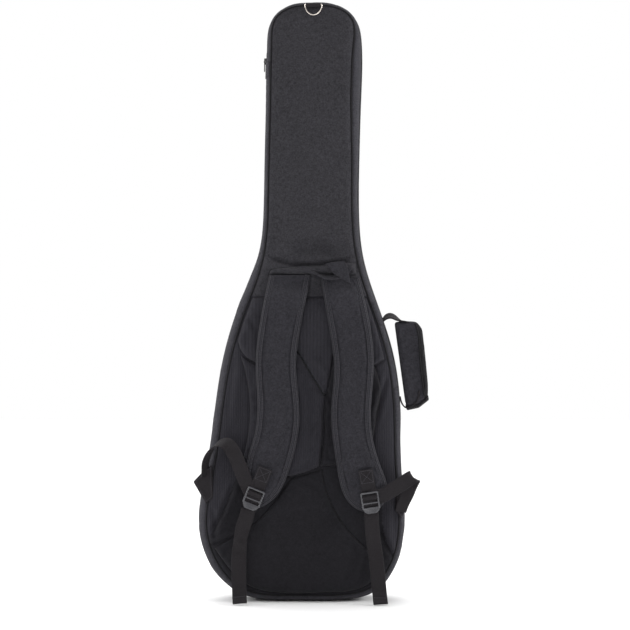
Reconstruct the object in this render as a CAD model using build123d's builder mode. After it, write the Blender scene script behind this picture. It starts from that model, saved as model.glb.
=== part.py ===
"""Padded gig bag for an electric guitar, standing on its base.

The frame: +Z runs up the bag, -Y is the back with the shoulder straps, +Y is the front lid, and
+X is the side with the carrying handle.  The origin is on the base.  All sizes are millimetres.
"""
import math
import os
from functools import cache

from build123d import *

os.makedirs("parts", exist_ok=True)

# ---- shell ---------------------------------------------------------------------------------------
WALL = 10.0                 # padded wall: fabric, foam and lining in one
SKIN = 1.2                  # inner lining
BACK_Y = -46.0              # outer face of the back panel
BACK_SEAM_Y = -36.0         # where the back panel is sewn to the gusset
ZIP_Y = 6.5                 # middle of the main zip, the widest plane of the bag
ZIP_GAP = 0.3               # half the gap between the two rows of teeth
TAPE_HALF = 5.0             # half the width of the zip, tape and teeth
FRONT_SEAM_Y = 40.0
FRONT_Y = 50.0              # outer face of the front panel
PANEL_INSET = 8.0           # the panels are sewn this far in from the gusset's face
PIPING = 4.0                # width of the piping at the panel seams
PIPING_INSET = 3.0
PIPING_HEIGHT = 3.0
TAPE_INSET = 1.0
TAPE_THICK = 3.0
CLEAR = 0.3                 # between pieces that lie face to face on curved walls

# Outline of the bag seen from the back, as (x, z): up the left side from the flat base, over the top
# and down the right side.  A smooth curve runs through the points.
OUTLINE = [
    (-62, 0), (-94, 3.5), (-124, 14), (-171, 57), (-195, 141), (-185, 214), (-173, 287), (-153, 420),
    (-115, 540), (-90, 606), (-81, 690), (-79, 790), (-77, 880), (-75, 975), (-66, 1015),
    (-40, 1037), (3, 1044), (50, 1038), (78, 1016), (88, 975), (87, 880), (84, 780), (83, 690),
    (91, 598), (112, 528), (142, 436), (156, 335), (159, 235), (165, 141), (148, 59), (109, 14),
    (76, 3.5), (43, 0),
]
NECK_X = (-81.0, 84.0)      # the neck's two sides

# Where the gusset's bands are seamed together, and how far the main zip runs.
TOP_SEAM_Z = 955.0
BOTTOM_SEAM = [(-240, 137), (240, 80)]
FAR = 300.0                 # beyond any part of the bag

# ---- what is inside ------------------------------------------------------------------------------
NECK_REST = (112, 18, 60)   # size of the block under the guitar's neck
NECK_REST_Z = 640.0
NECK_GROOVE_R = 60.0
NECK_GROOVE_DEPTH = 8.0
HEADSTOCK_PAD = (104, 8, 120)
HEADSTOCK_PAD_Z = 930.0
END_PAD_THICK = 14.0
END_PAD_REGION = [(-70, -FAR), (-70, 60), (56, 60), (56, -FAR)]
STRAP_INSIDE_W = 38.0       # width of the hook-and-loop strap over the neck
STRAP_INSIDE_X = (-60.0, 62.0)
STRAP_INSIDE_Y = 18.0
STRAP_INSIDE_T = 3.0

# ---- pads of the back ----------------------------------------------------------------------------
YOKE_Z = (570.0, 589.0)
YOKE_X = (-76.0, 80.0)
YOKE_T = 3.0
MESH_T = 4.0
LOBE_T = 5.0
MESH_POINTS = [(-70, 569), (78, 569), (98, 520), (104, 430), (60, 428), (27, 356), (-22, 436), (-92, 436),
               (-86, 520)]
LEFT_LOBE_POINTS = [(-92, 432), (-24, 432), (22, 356), (14, 236), (-30, 214), (-62, 196), (-112, 262),
                    (-106, 350)]
RIGHT_LOBE_POINTS = [(62, 424), (104, 426), (112, 300), (98, 226), (52, 236), (20, 236), (29, 350)]
LOWER_PANEL_POINTS = [(-28, 205), (-8, 222), (54, 230), (70, 170), (104, 92), (84, 24), (-104, 24),
                      (-112, 92), (-64, 170)]

# ---- shoulder straps: (x, z) along both edges, from the yoke down --------------------------------
STRAP_Y = -57.0             # face of the strap that lies towards the bag
STRAP_T = 14.0
BINDING = 5.0
BINDING_EXTRA = 1.0         # the binding stands this much proud of the pad
LEFT_OUTER = [(-70, 568), (-84, 495), (-93, 415), (-90, 340), (-97, 285), (-110, 238)]
LEFT_INNER = [(1, 568), (-18, 474), (-25, 410), (-19, 325), (-36, 234), (-70, 176)]
LEFT_TIP = (-92, 166)
RIGHT_INNER = [(19, 562), (34, 474), (42, 410), (37, 332), (46, 242), (78, 166)]
RIGHT_OUTER = [(84, 562), (99, 500), (109, 410), (104, 320), (120, 240), (130, 180)]
RIGHT_TIP = (108, 160)

# ---- webbing and buckles -------------------------------------------------------------------------
WEBBING_W = 25.0
WEBBING_T = 2.4
LOCK_W = 31.0
LOCK_H = 31.0
LOCK_T = 5.0
LOCK_SLOT = (25.6, 4.6)
LOCK_PITCH = 8.5
LOCK_ROUND = 1.0
LOCK_Y = -72.5              # face of the buckles that lies towards the straps
ANCHOR_GAP = 1.0
ANCHOR_LENGTH = 38.0
LEFT_LOCK = (-97, 185, 22)      # x, z and turn in degrees of each ladder lock
RIGHT_LOCK = (103.5, 179, -9)
LEFT_BAND = [(-124, 202), (-101, 212), (-122, 272), (-143, 287), (-151, 268)]
LEFT_FOLD = [(-124, 270), (-143, 288), (-166, 288), (-195, 216), (-178, 214), (-160, 262)]
LEFT_END = [(-192, 222), (-177, 220), (-180, 205), (-196, 207)]
RIGHT_BAND = [(134, 178), (138, 207), (166, 231), (176, 229), (176, 204)]
RIGHT_FOLD = [(158, 226), (168, 236), (175, 234), (184, 206), (170, 186)]
RIGHT_END = [(168, 212), (181, 212), (183, 200), (170, 198)]
END_Y = -48.0               # where the adjusters meet the wings
LEFT_TAIL = [(-121, 163), (-97, 163), (-107, 110), (-110, 12), (-123, 2), (-135, 9), (-132, 106)]
RIGHT_TAIL = [(93, 158), (118, 158), (128, 100), (132, 9), (121, 2), (108, 5), (105, 104)]
LEFT_WING = [(-184, 256), (-204, 209), (-188, 172), (-182, 210)]
RIGHT_WING = [(158, 236), (176, 232), (189, 207), (166, 168), (156, 200)]
WING_Y = -46.0
WING_T = 6.8

# ---- handles and the hanging ring ----------------------------------------------------------------
GRIP = [(146, 484), (188, 484), (203, 372), (170, 343), (166, 360)]
GRIP_T = 18.0
GRIP_Y = -17.0
SIDE_WEB_W = 18.0
SIDE_UPPER = [(134, 493), (134, 500), (152, 500), (170, 484.5), (146, 484.5)]
SIDE_LOWER = [(166, 350), (170, 342.5), (187, 357.5), (187, 346), (174, 334), (166, 338)]
SIDE_PATCH_T = 2.0
UPPER_PATCH_Z = (480.0, 526.0)
LOWER_PATCH_Z = (312.0, 372.0)
PATCH_Y = (-30.0, -5.0)
GRAB_T = 3.0
GRAB_W = 12.0
GRAB_Y = -54.5
GRAB_TOP_Z = 588.0
GRAB_LEFT = -24.0
GRAB_RIGHT = 60.0
GRAB_DROP = 16.0
RING_WIRE = 2.0             # radius of the ring's wire
RING_X = 5.6
RING_BAR_Z = 1036.0
RING_Y = -52.0
RING_HALF = 14.5            # half the width of the ring between wire centres
RING_DROP = 15.0
RING_CORNER = 3.0
LOOP_W = 20.0
LOOP_R = 5.0
LOOP_BORE_R = 2.6

# ---- main zip slider -----------------------------------------------------------------------------
SLIDER_Z = 944.0
SLIDER = (3.0, 7.4, 12.0)   # standing out, across the zip, along it
SLIDER_X = -77.6
SLIDER_ROUND = 1.0
PULLER_T = 1.6
PULLER_W = 6.0
PULLER_LENGTH = 26.0
GARAGE_Z = (905.0, 930.0)
GARAGE_T = 2.0
GARAGE_W = 14.0

# ---- front pocket --------------------------------------------------------------------------------
POCKET_INSET = 26.0
POCKET_TOP_Z = 420.0
POCKET_WALL = 4.0
POCKET_TAPE_Y = 66.0
POCKET_LID_Y = 70.4
POCKET_FRONT_Y = 75.0
POCKET_TAPE_THICK = 2.4
POCKET_SLIDER = (12.0, 3.4, 7.0)
POCKET_SLIDER_X = -95.0


# ---- shared shapes -------------------------------------------------------------------------------
def facing_back(front_y):
    """Plane at y = front_y on which x is +X and y is +Z; its extrusions grow towards the back."""
    return Plane.XZ.offset(-front_y)


def moved_in(before, here, after, inset):
    """A point of the outline moved towards the inside of the bag, square to the outline."""
    run_x = after[0] - before[0]
    run_z = after[1] - before[1]
    length = math.hypot(run_x, run_z)
    return here[0] + inset * run_z / length, here[1] - inset * run_x / length


@cache
def outline(inset):
    """The bag's outline seen from the back, drawn in by inset, or out where inset is negative."""
    start = (OUTLINE[0][0], OUTLINE[0][1] + max(inset, 0))
    end = (OUTLINE[-1][0], OUTLINE[-1][1] + max(inset, 0))
    middle = [moved_in(*trio, inset) for trio in zip(OUTLINE, OUTLINE[1:], OUTLINE[2:])]
    with BuildSketch() as face:
        with BuildLine():
            Spline(start, *middle, end)
            Line(end, start)
        make_face()
    return face.sketch


def finish(piece, node):
    """Label a finished piece and write it under its node's name."""
    piece.part.label = node
    export_step(piece.part, f"parts/{node}.step")


def plate(node, points, front_y, thickness):
    """A flat piece with straight edges, facing the back."""
    with BuildPart() as piece:
        with BuildSketch(facing_back(front_y)):
            with BuildLine():
                Polyline(*points, close=True)
            make_face()
        extrude(amount=thickness)
    finish(piece, node)


def panel(node, inset, front_y, thickness):
    """A flat piece with the bag's outline."""
    shape = outline(inset)
    with BuildPart() as piece:
        with BuildSketch(facing_back(front_y)):
            add(shape)
        extrude(amount=thickness)
    finish(piece, node)


def band(node, outer, inner, front_y, back_y, region):
    """The stretch of a wall around the bag that lies inside region, between two insets."""
    outer_shape = outline(outer)
    inner_shape = outline(inner)
    with BuildPart() as piece:
        with BuildSketch(facing_back(front_y)):
            add(outer_shape)
            add(inner_shape, mode=Mode.SUBTRACT)
            if region:
                with BuildLine():
                    Polyline(*region, close=True)
                make_face(mode=Mode.INTERSECT)
        extrude(amount=front_y - back_y)
    finish(piece, node)


seam_middle = (0, sum(z for _, z in BOTTOM_SEAM) / 2)
TOP_REGION = [(-FAR, TOP_SEAM_Z), (-FAR, 4 * FAR), (FAR, 4 * FAR), (FAR, TOP_SEAM_Z)]
LEFT_REGION = [BOTTOM_SEAM[0], (-FAR, TOP_SEAM_Z), (0, TOP_SEAM_Z), seam_middle]
RIGHT_REGION = [seam_middle, (0, TOP_SEAM_Z), (FAR, TOP_SEAM_Z), BOTTOM_SEAM[1]]
BOTTOM_REGION = [BOTTOM_SEAM[0], BOTTOM_SEAM[1], (FAR, -FAR), (-FAR, -FAR)]
ZIP_REGION = [BOTTOM_SEAM[0], seam_middle, (0, TOP_SEAM_Z), (-FAR, TOP_SEAM_Z), (-FAR, 4 * FAR),
              (FAR, 4 * FAR), (FAR, -FAR), (-FAR, -FAR)]

# ---- back half of the shell ----------------------------------------------------------------------
zip_back_y = ZIP_Y - TAPE_HALF
zip_front_y = ZIP_Y + TAPE_HALF
hinge_back_y = ZIP_Y - ZIP_GAP
hinge_front_y = ZIP_Y + ZIP_GAP
panel("back_panel", PANEL_INSET, BACK_SEAM_Y, BACK_SEAM_Y - BACK_Y)
band("back_piping", PIPING_INSET, PIPING_INSET + PIPING, BACK_SEAM_Y, BACK_SEAM_Y - PIPING_HEIGHT, None)
band("back_gusset_top", 0, WALL, zip_back_y, BACK_SEAM_Y, TOP_REGION)
band("back_gusset_left", 0, WALL, hinge_back_y, BACK_SEAM_Y, LEFT_REGION)
band("back_gusset_right", 0, WALL, zip_back_y, BACK_SEAM_Y, RIGHT_REGION)
band("back_gusset_bottom", 0, WALL, zip_back_y, BACK_SEAM_Y, BOTTOM_REGION)
band("zip_tape_back", TAPE_INSET, TAPE_INSET + TAPE_THICK, hinge_back_y, zip_back_y, ZIP_REGION)
panel("back_lining", WALL + CLEAR, BACK_SEAM_Y + SKIN, SKIN)

# ---- lid -----------------------------------------------------------------------------------------
panel("front_panel", PANEL_INSET, FRONT_Y, FRONT_Y - FRONT_SEAM_Y)
band("front_piping", PIPING_INSET, PIPING_INSET + PIPING, FRONT_SEAM_Y + PIPING_HEIGHT, FRONT_SEAM_Y, None)
band("front_gusset_top", 0, WALL, FRONT_SEAM_Y, zip_front_y, TOP_REGION)
band("front_gusset_left", 0, WALL, FRONT_SEAM_Y, hinge_front_y, LEFT_REGION)
band("front_gusset_right", 0, WALL, FRONT_SEAM_Y, zip_front_y, RIGHT_REGION)
band("front_gusset_bottom", 0, WALL, FRONT_SEAM_Y, zip_front_y, BOTTOM_REGION)
band("zip_tape_front", TAPE_INSET, TAPE_INSET + TAPE_THICK, zip_front_y, hinge_front_y, ZIP_REGION)
panel("front_lining", WALL + CLEAR, FRONT_SEAM_Y, SKIN)

# ---- what is inside ------------------------------------------------------------------------------
lining_y = BACK_SEAM_Y + SKIN
neck_x = sum(NECK_X) / 2
with BuildPart() as neck_rest:
    with BuildSketch(Plane.XY.offset(NECK_REST_Z - NECK_REST[2] / 2)):
        with Locations((neck_x, lining_y + NECK_REST[1] / 2)):
            Rectangle(NECK_REST[0], NECK_REST[1])
        with Locations((neck_x, lining_y + NECK_REST[1] + NECK_GROOVE_R - NECK_GROOVE_DEPTH)):
            Circle(NECK_GROOVE_R, mode=Mode.SUBTRACT)
    extrude(amount=NECK_REST[2])
finish(neck_rest, "neck_rest")

with BuildPart() as headstock_pad:
    with BuildSketch(facing_back(lining_y + HEADSTOCK_PAD[1])):
        with Locations((neck_x, HEADSTOCK_PAD_Z)):
            RectangleRounded(HEADSTOCK_PAD[0], HEADSTOCK_PAD[2], WALL)
    extrude(amount=HEADSTOCK_PAD[1])
finish(headstock_pad, "headstock_pad")

band("end_pad", WALL + CLEAR, WALL + CLEAR + END_PAD_THICK, zip_back_y, lining_y, END_PAD_REGION)

with BuildPart() as neck_strap:
    with BuildSketch(Plane.XY.offset(NECK_REST_Z - STRAP_INSIDE_W / 2)):
        with BuildLine():
            Polyline((STRAP_INSIDE_X[0], lining_y + CLEAR), (STRAP_INSIDE_X[0], STRAP_INSIDE_Y),
                     (STRAP_INSIDE_X[1], STRAP_INSIDE_Y), (STRAP_INSIDE_X[1], lining_y + CLEAR))
            offset(amount=STRAP_INSIDE_T, side=Side.LEFT)
        make_face()
    extrude(amount=STRAP_INSIDE_W)
finish(neck_strap, "neck_strap")

# ---- pads on the back ----------------------------------------------------------------------------
with BuildPart() as yoke_band:
    with BuildSketch(facing_back(BACK_Y)):
        with Locations(((YOKE_X[0] + YOKE_X[1]) / 2, (YOKE_Z[0] + YOKE_Z[1]) / 2)):
            RectangleRounded(YOKE_X[1] - YOKE_X[0], YOKE_Z[1] - YOKE_Z[0], YOKE_T)
    extrude(amount=YOKE_T)
finish(yoke_band, "yoke_band")
plate("back_mesh", MESH_POINTS, BACK_Y, MESH_T)
plate("lumbar_pad_left", LEFT_LOBE_POINTS, BACK_Y, LOBE_T)
plate("lumbar_pad_right", RIGHT_LOBE_POINTS, BACK_Y, LOBE_T)
plate("lower_panel", LOWER_PANEL_POINTS, BACK_Y, YOKE_T)
plate("left_wing", LEFT_WING, WING_Y + WING_T, WING_T)
plate("right_wing", RIGHT_WING, WING_Y + WING_T, WING_T)


# ---- shoulder straps -----------------------------------------------------------------------------
def strap_outline(outer_edge, inner_edge, tip, inset):
    """A shoulder strap's outline: two flowing edges, straight across the yoke, pointed at the tip."""
    loop = [*outer_edge, tip, *reversed(inner_edge)]
    trios = zip([loop[-1], *loop], loop, [*loop[1:], loop[0]])
    moved = [moved_in(*trio, inset) for trio in trios]
    foot = len(outer_edge)
    with BuildSketch() as face:
        with BuildLine():
            Spline(*moved[:foot])
            Polyline(*moved[foot - 1:foot + 2])
            Spline(*moved[foot + 1:])
            Line(moved[-1], moved[0])
        make_face()
    return face.sketch


def shoulder_strap(side, outer_edge, inner_edge, tip, binding_width):
    """A padded strap and the binding sewn round its edge; the left one's width counts as negative."""
    edge_shape = strap_outline(outer_edge, inner_edge, tip, 0)
    pad_shape = strap_outline(outer_edge, inner_edge, tip, binding_width)
    with BuildPart() as pad:
        with BuildSketch(facing_back(STRAP_Y - BINDING_EXTRA)):
            add(pad_shape)
        extrude(amount=STRAP_T - 2 * BINDING_EXTRA)
    finish(pad, f"{side}_strap_pad")
    with BuildPart() as binding:
        with BuildSketch(facing_back(STRAP_Y)):
            add(edge_shape)
            add(pad_shape, mode=Mode.SUBTRACT)
        extrude(amount=STRAP_T)
    finish(binding, f"{side}_strap_binding")


def ladder_lock(side, x, z, turn):
    """The plastic buckle at a strap's end, and the webbing that holds it to the strap."""
    lean = math.radians(turn)
    along = (math.cos(lean), 0, -math.sin(lean))
    face = Plane(origin=(x, LOCK_Y, z), x_dir=along, z_dir=(0, -1, 0))
    with BuildPart() as lock:
        with BuildSketch(face):
            RectangleRounded(LOCK_W, LOCK_H, LOCK_T / 2)
            with Locations((0, -LOCK_PITCH), (0, 0), (0, LOCK_PITCH)):
                Rectangle(*LOCK_SLOT, mode=Mode.SUBTRACT)
        extrude(amount=LOCK_T)
        fillet(lock.faces().sort_by(Axis.Y)[0].outer_wire().edges(), radius=LOCK_ROUND)
    finish(lock, f"{side}_ladder_lock")
    with BuildPart() as anchor:
        with BuildSketch(Plane(origin=(x, STRAP_Y - STRAP_T, z), x_dir=along, z_dir=(0, -1, 0))):
            with Locations((0, LOCK_H / 2 + ANCHOR_GAP + ANCHOR_LENGTH / 2)):
                Rectangle(WEBBING_W, ANCHOR_LENGTH)
        extrude(amount=WEBBING_T)
    finish(anchor, f"{side}_strap_anchor")


def adjuster(side, band_points, fold_points, end_points):
    """The webbing from the buckle to the side wing, turned over once on the way."""
    fold_y = LOCK_Y + WEBBING_T
    with BuildPart() as webbing:
        with BuildSketch(facing_back(LOCK_Y)):
            with BuildLine():
                Polyline(*band_points, close=True)
            make_face()
        extrude(amount=WEBBING_T)
        with BuildSketch(facing_back(fold_y)):
            with BuildLine():
                Polyline(*fold_points, close=True)
            make_face()
        extrude(amount=WEBBING_T)
        with BuildSketch(facing_back(END_Y)):
            with BuildLine():
                Polyline(*end_points, close=True)
            make_face()
        extrude(amount=END_Y - fold_y)
    finish(webbing, f"{side}_adjuster")


shoulder_strap("left", LEFT_OUTER, LEFT_INNER, LEFT_TIP, -BINDING)
shoulder_strap("right", RIGHT_OUTER, RIGHT_INNER, RIGHT_TIP, BINDING)
ladder_lock("left", *LEFT_LOCK)
ladder_lock("right", *RIGHT_LOCK)
adjuster("left", LEFT_BAND, LEFT_FOLD, LEFT_END)
adjuster("right", RIGHT_BAND, RIGHT_FOLD, RIGHT_END)
plate("left_tail", LEFT_TAIL, LOCK_Y, WEBBING_T)
plate("right_tail", RIGHT_TAIL, LOCK_Y, WEBBING_T)

# ---- side handle ---------------------------------------------------------------------------------
with BuildPart() as side_grip:
    with BuildSketch(facing_back(GRIP_Y + GRIP_T / 2)):
        with BuildLine():
            Polyline(*GRIP, close=True)
        make_face()
    extrude(amount=GRIP_T)
    fillet(side_grip.edges().filter_by(Axis.Y), radius=WALL / 2)
finish(side_grip, "side_handle_grip")

with BuildPart() as side_webbing:
    with BuildSketch(facing_back(GRIP_Y + SIDE_WEB_W / 2)):
        with BuildLine():
            Polyline(*SIDE_UPPER, close=True)
        make_face()
        with BuildLine():
            Polyline(*SIDE_LOWER, close=True)
        make_face()
    extrude(amount=SIDE_WEB_W)
finish(side_webbing, "side_handle_webbing")

gusset_face = outline(0)
patch_face = outline(-SIDE_PATCH_T)
with BuildPart() as side_patches:
    for low, high in (UPPER_PATCH_Z, LOWER_PATCH_Z):
        with BuildSketch(facing_back(PATCH_Y[1])):
            add(patch_face)
            add(gusset_face, mode=Mode.SUBTRACT)
            with BuildLine():
                Polyline((0, low), (0, high), (FAR, high), (FAR, low), close=True)
            make_face(mode=Mode.INTERSECT)
        extrude(amount=PATCH_Y[1] - PATCH_Y[0])
finish(side_patches, "side_handle_patches")

# ---- grab handle between the straps --------------------------------------------------------------
with BuildPart() as grab_handle:
    with BuildSketch(facing_back(GRAB_Y)):
        with BuildLine():
            ThreePointArc((GRAB_LEFT, GRAB_TOP_Z), ((GRAB_LEFT + GRAB_RIGHT) / 2, GRAB_TOP_Z - GRAB_DROP),
                          (GRAB_RIGHT, GRAB_TOP_Z))
            offset(amount=GRAB_W, side=Side.LEFT)
        make_face()
    extrude(amount=GRAB_T)
finish(grab_handle, "grab_handle")

# ---- hanging ring at the top ---------------------------------------------------------------------
with BuildPart() as hang_loop:
    with BuildSketch(Plane.YZ.offset(RING_X - LOOP_W / 2)):
        with Locations((RING_Y, RING_BAR_Z)):
            Circle(LOOP_R)
        with BuildLine():
            Polyline((RING_Y, RING_BAR_Z - LOOP_R), (BACK_Y, RING_BAR_Z - LOOP_R),
                     (BACK_Y, RING_BAR_Z + LOOP_R), (RING_Y, RING_BAR_Z + LOOP_R), close=True)
        make_face()
        with Locations((RING_Y, RING_BAR_Z)):
            Circle(LOOP_BORE_R, mode=Mode.SUBTRACT)
    extrude(amount=LOOP_W)
finish(hang_loop, "hang_loop")

with BuildPart() as hang_ring:
    with BuildLine() as ring_path:
        with BuildLine(Plane.XZ.offset(-RING_Y)):
            FilletPolyline((RING_X - RING_HALF, RING_BAR_Z), (RING_X + RING_HALF, RING_BAR_Z),
                           (RING_X + RING_HALF, RING_BAR_Z - RING_DROP / 2),
                           (RING_X + RING_HALF / 2, RING_BAR_Z - RING_DROP),
                           (RING_X - RING_HALF / 2, RING_BAR_Z - RING_DROP),
                           (RING_X - RING_HALF, RING_BAR_Z - RING_DROP / 2), radius=RING_CORNER, close=True)
    with BuildSketch(Plane(origin=(RING_X, RING_Y, RING_BAR_Z), z_dir=(1, 0, 0))):
        Circle(RING_WIRE)
    sweep(path=ring_path.wire())
finish(hang_ring, "hang_ring")

# ---- main zip slider and its garage --------------------------------------------------------------
band("zip_garage", -GARAGE_T, 0, hinge_back_y, hinge_back_y - GARAGE_W,
     [(-FAR, GARAGE_Z[0]), (-FAR, GARAGE_Z[1]), (0, GARAGE_Z[1]), (0, GARAGE_Z[0])])
with BuildPart() as zip_slider:
    with BuildSketch(Plane.XY.offset(SLIDER_Z - SLIDER[2] / 2)):
        with Locations((SLIDER_X - SLIDER[0] / 2, ZIP_Y - TAPE_HALF)):
            RectangleRounded(SLIDER[0], SLIDER[1], SLIDER_ROUND)
    extrude(amount=SLIDER[2])
finish(zip_slider, "zip_slider")
with BuildPart() as zip_puller:
    with BuildSketch(Plane.YZ.offset(SLIDER_X - SLIDER[0] - CLEAR - PULLER_T)):
        with Locations((ZIP_Y - TAPE_HALF, SLIDER_Z + SLIDER[2] / 2 - PULLER_LENGTH / 2)):
            RectangleRounded(PULLER_W, PULLER_LENGTH, PULLER_T)
    extrude(amount=PULLER_T)
finish(zip_puller, "zip_puller")

# ---- front pocket --------------------------------------------------------------------------------
def pocket_shape(inset):
    """The pocket's outline on the front panel, drawn in by inset."""
    shape = outline(POCKET_INSET + inset)
    with BuildSketch() as face:
        add(shape)
        with Locations((0, POCKET_TOP_Z - inset - FAR)):
            Rectangle(2 * FAR, 2 * FAR, mode=Mode.INTERSECT)
    return face.sketch


pocket_face = pocket_shape(0)
pocket_inside = pocket_shape(POCKET_WALL)
pocket_zip_inside = pocket_shape(POCKET_TAPE_THICK)
with BuildPart() as pocket_gusset:
    with BuildSketch(facing_back(POCKET_TAPE_Y)):
        add(pocket_face)
        add(pocket_inside, mode=Mode.SUBTRACT)
    extrude(amount=POCKET_TAPE_Y - FRONT_Y)
finish(pocket_gusset, "pocket_gusset")
with BuildPart() as pocket_zip:
    with BuildSketch(facing_back(POCKET_LID_Y - 2 * CLEAR)):
        add(pocket_face)
        add(pocket_zip_inside, mode=Mode.SUBTRACT)
    extrude(amount=POCKET_LID_Y - 2 * CLEAR - POCKET_TAPE_Y)
finish(pocket_zip, "pocket_zip")
with BuildPart() as pocket_panel:
    with BuildSketch(facing_back(POCKET_FRONT_Y)):
        add(pocket_face)
    extrude(amount=POCKET_FRONT_Y - POCKET_LID_Y)
finish(pocket_panel, "pocket_panel")
with BuildPart() as pocket_slider:
    with BuildSketch(Plane.XY.offset(POCKET_TOP_Z + CLEAR)):
        with Locations((POCKET_SLIDER_X, POCKET_TAPE_Y)):
            RectangleRounded(POCKET_SLIDER[0], POCKET_SLIDER[2], SLIDER_ROUND)
    extrude(amount=POCKET_SLIDER[1])
finish(pocket_slider, "pocket_slider")
with BuildPart() as pocket_puller:
    with BuildSketch(Plane.XY.offset(POCKET_TOP_Z + 2 * CLEAR + POCKET_SLIDER[1])):
        with Locations((POCKET_SLIDER_X - POCKET_SLIDER[0] / 2 + PULLER_LENGTH / 2, POCKET_TAPE_Y)):
            RectangleRounded(PULLER_LENGTH, PULLER_W, PULLER_T)
    extrude(amount=PULLER_T)
finish(pocket_puller, "pocket_puller")
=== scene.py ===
"""Looks of the padded gig bag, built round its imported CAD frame.

Lengths are in millimetres until a mesh is made.
"""
import math

import bmesh
import bpy
import numpy as np
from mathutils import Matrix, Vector, noise
from mathutils.geometry import delaunay_2d_cdt


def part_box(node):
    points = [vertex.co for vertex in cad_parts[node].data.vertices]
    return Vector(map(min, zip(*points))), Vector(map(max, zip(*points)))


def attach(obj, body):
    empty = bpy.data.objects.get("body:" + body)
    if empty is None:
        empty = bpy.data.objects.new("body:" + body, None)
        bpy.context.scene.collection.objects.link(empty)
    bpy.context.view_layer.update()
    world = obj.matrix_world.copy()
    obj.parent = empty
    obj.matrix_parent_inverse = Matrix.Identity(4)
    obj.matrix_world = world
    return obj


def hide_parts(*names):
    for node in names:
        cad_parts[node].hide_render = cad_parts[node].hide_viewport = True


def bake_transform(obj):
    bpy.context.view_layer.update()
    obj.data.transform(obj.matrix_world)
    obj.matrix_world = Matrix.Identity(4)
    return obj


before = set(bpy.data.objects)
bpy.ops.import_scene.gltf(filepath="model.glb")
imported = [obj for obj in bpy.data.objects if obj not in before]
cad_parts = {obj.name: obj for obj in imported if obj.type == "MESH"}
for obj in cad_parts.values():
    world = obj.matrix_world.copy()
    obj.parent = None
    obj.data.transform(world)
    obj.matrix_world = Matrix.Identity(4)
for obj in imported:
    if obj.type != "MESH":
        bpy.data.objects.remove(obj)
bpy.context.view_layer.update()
MM = 0.001

# ------------------------------------------------------------------ curves and distances


def smooth(t):
    t = np.clip(t, 0.0, 1.0)
    return t * t * (3 - 2 * t)


def eased(depth, reach, power=2.0):
    """0 at an edge, rising to 1 over reach in a rounded profile."""
    return np.sqrt(1 - (1 - np.clip(depth / reach, 0, 1)) ** power)


def upright(flat):
    """Points (x, z) as points (x, 0, z)."""
    return np.stack([flat[:, 0], np.zeros(len(flat)), flat[:, 1]], 1)


def lengths(points):
    return np.concatenate([[0.0], np.cumsum(np.linalg.norm(np.diff(points, axis=0), axis=1))])


def even(points, step):
    """The same line with its points about a step apart."""
    along = lengths(points)
    count = max(2, int(round(along[-1] / step)) + 1)
    wanted = np.linspace(0, along[-1], count)
    return np.stack([np.interp(wanted, along, points[:, k]) for k in range(points.shape[1])], 1)


def curve(points, step=3.0):
    """A smooth open line through the points: a natural cubic spline in chord length."""
    p = np.array(points, float)
    t = lengths(p)
    h = np.diff(t)
    count = len(p)
    a, b = np.eye(count), np.zeros_like(p)
    for i in range(1, count - 1):
        a[i, i - 1:i + 2] = h[i - 1], 2 * (h[i - 1] + h[i]), h[i]
        b[i] = 6 * ((p[i + 1] - p[i]) / h[i] - (p[i] - p[i - 1]) / h[i - 1])
    m = np.linalg.solve(a, b)
    s = np.linspace(0, t[-1], max(20, int(t[-1] / 0.7)))
    i = np.clip(np.searchsorted(t, s, side="right") - 1, 0, count - 2)
    left, right, span = (t[i + 1] - s)[:, None], (s - t[i])[:, None], h[i][:, None]
    line = (m[i] * left ** 3 + m[i + 1] * right ** 3) / (6 * span)
    line += (p[i] / span - m[i] * span / 6) * left + (p[i + 1] / span - m[i + 1] * span / 6) * right
    return even(line, step)


def closed_by_lines(*runs, step=3.0):
    """A closed outline of several runs, with straight lines between them where they don't meet."""
    points = []
    for k, run in enumerate(runs):
        gap = np.array([run[-1], runs[(k + 1) % len(runs)][0]])
        apart = np.linalg.norm(gap[1] - gap[0])
        points.append(run if apart > 0.5 else run[:-1])
        if apart > step:
            points.append(even(gap, step)[1:-1])
    return np.vstack(points)


def polygon(corners, step=2.0):
    """A closed outline of straight sides between corner points."""
    sides = zip(corners, [*corners[1:], corners[0]])
    return closed_by_lines(*[even(np.array(side, float), step) for side in sides])


def inward(loop):
    """Unit normals into a loop that runs clockwise as seen from behind the bag."""
    along = np.roll(loop, -1, 0) - np.roll(loop, 1, 0)
    along = (along + np.roll(along, 1, 0) + np.roll(along, -1, 0)) / 3
    normal = np.stack([along[:, 1], -along[:, 0]], 1)
    return normal / np.linalg.norm(normal, axis=1)[:, None]


def clockwise(loop):
    x, z = loop[:, 0], loop[:, 1]
    area = np.sum(x * np.roll(z, -1) - np.roll(x, -1) * z)
    return loop[::-1] if area > 0 else loop


def nearest(points, line, closed=False):
    """Distance of each point to a line, how far along the line (0 to 1) and on which side."""
    a = np.asarray(line, float)
    b = np.roll(a, -1, 0) if closed else a[1:]
    a = a if closed else a[:-1]
    d = b - a
    size = np.maximum((d ** 2).sum(1), 1e-9)
    distance, place, side = np.empty(len(points)), np.empty(len(points)), np.empty(len(points))
    for k in range(0, len(points), 2000):
        q = points[k:k + 2000, None, :] - a[None]
        t = np.clip((q * d).sum(2) / size, 0, 1)
        r = q - t[..., None] * d
        far = (r ** 2).sum(2)
        best = far.argmin(1)
        row = np.arange(len(best))
        distance[k:k + 2000] = np.sqrt(far[row, best])
        place[k:k + 2000] = (best + t[row, best]) / len(a)
        cross = d[best, 0] * q[row, best, 1] - d[best, 1] * q[row, best, 0]
        side[k:k + 2000] = np.where(cross >= 0, 1.0, -1.0)
    return distance, place, side


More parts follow.
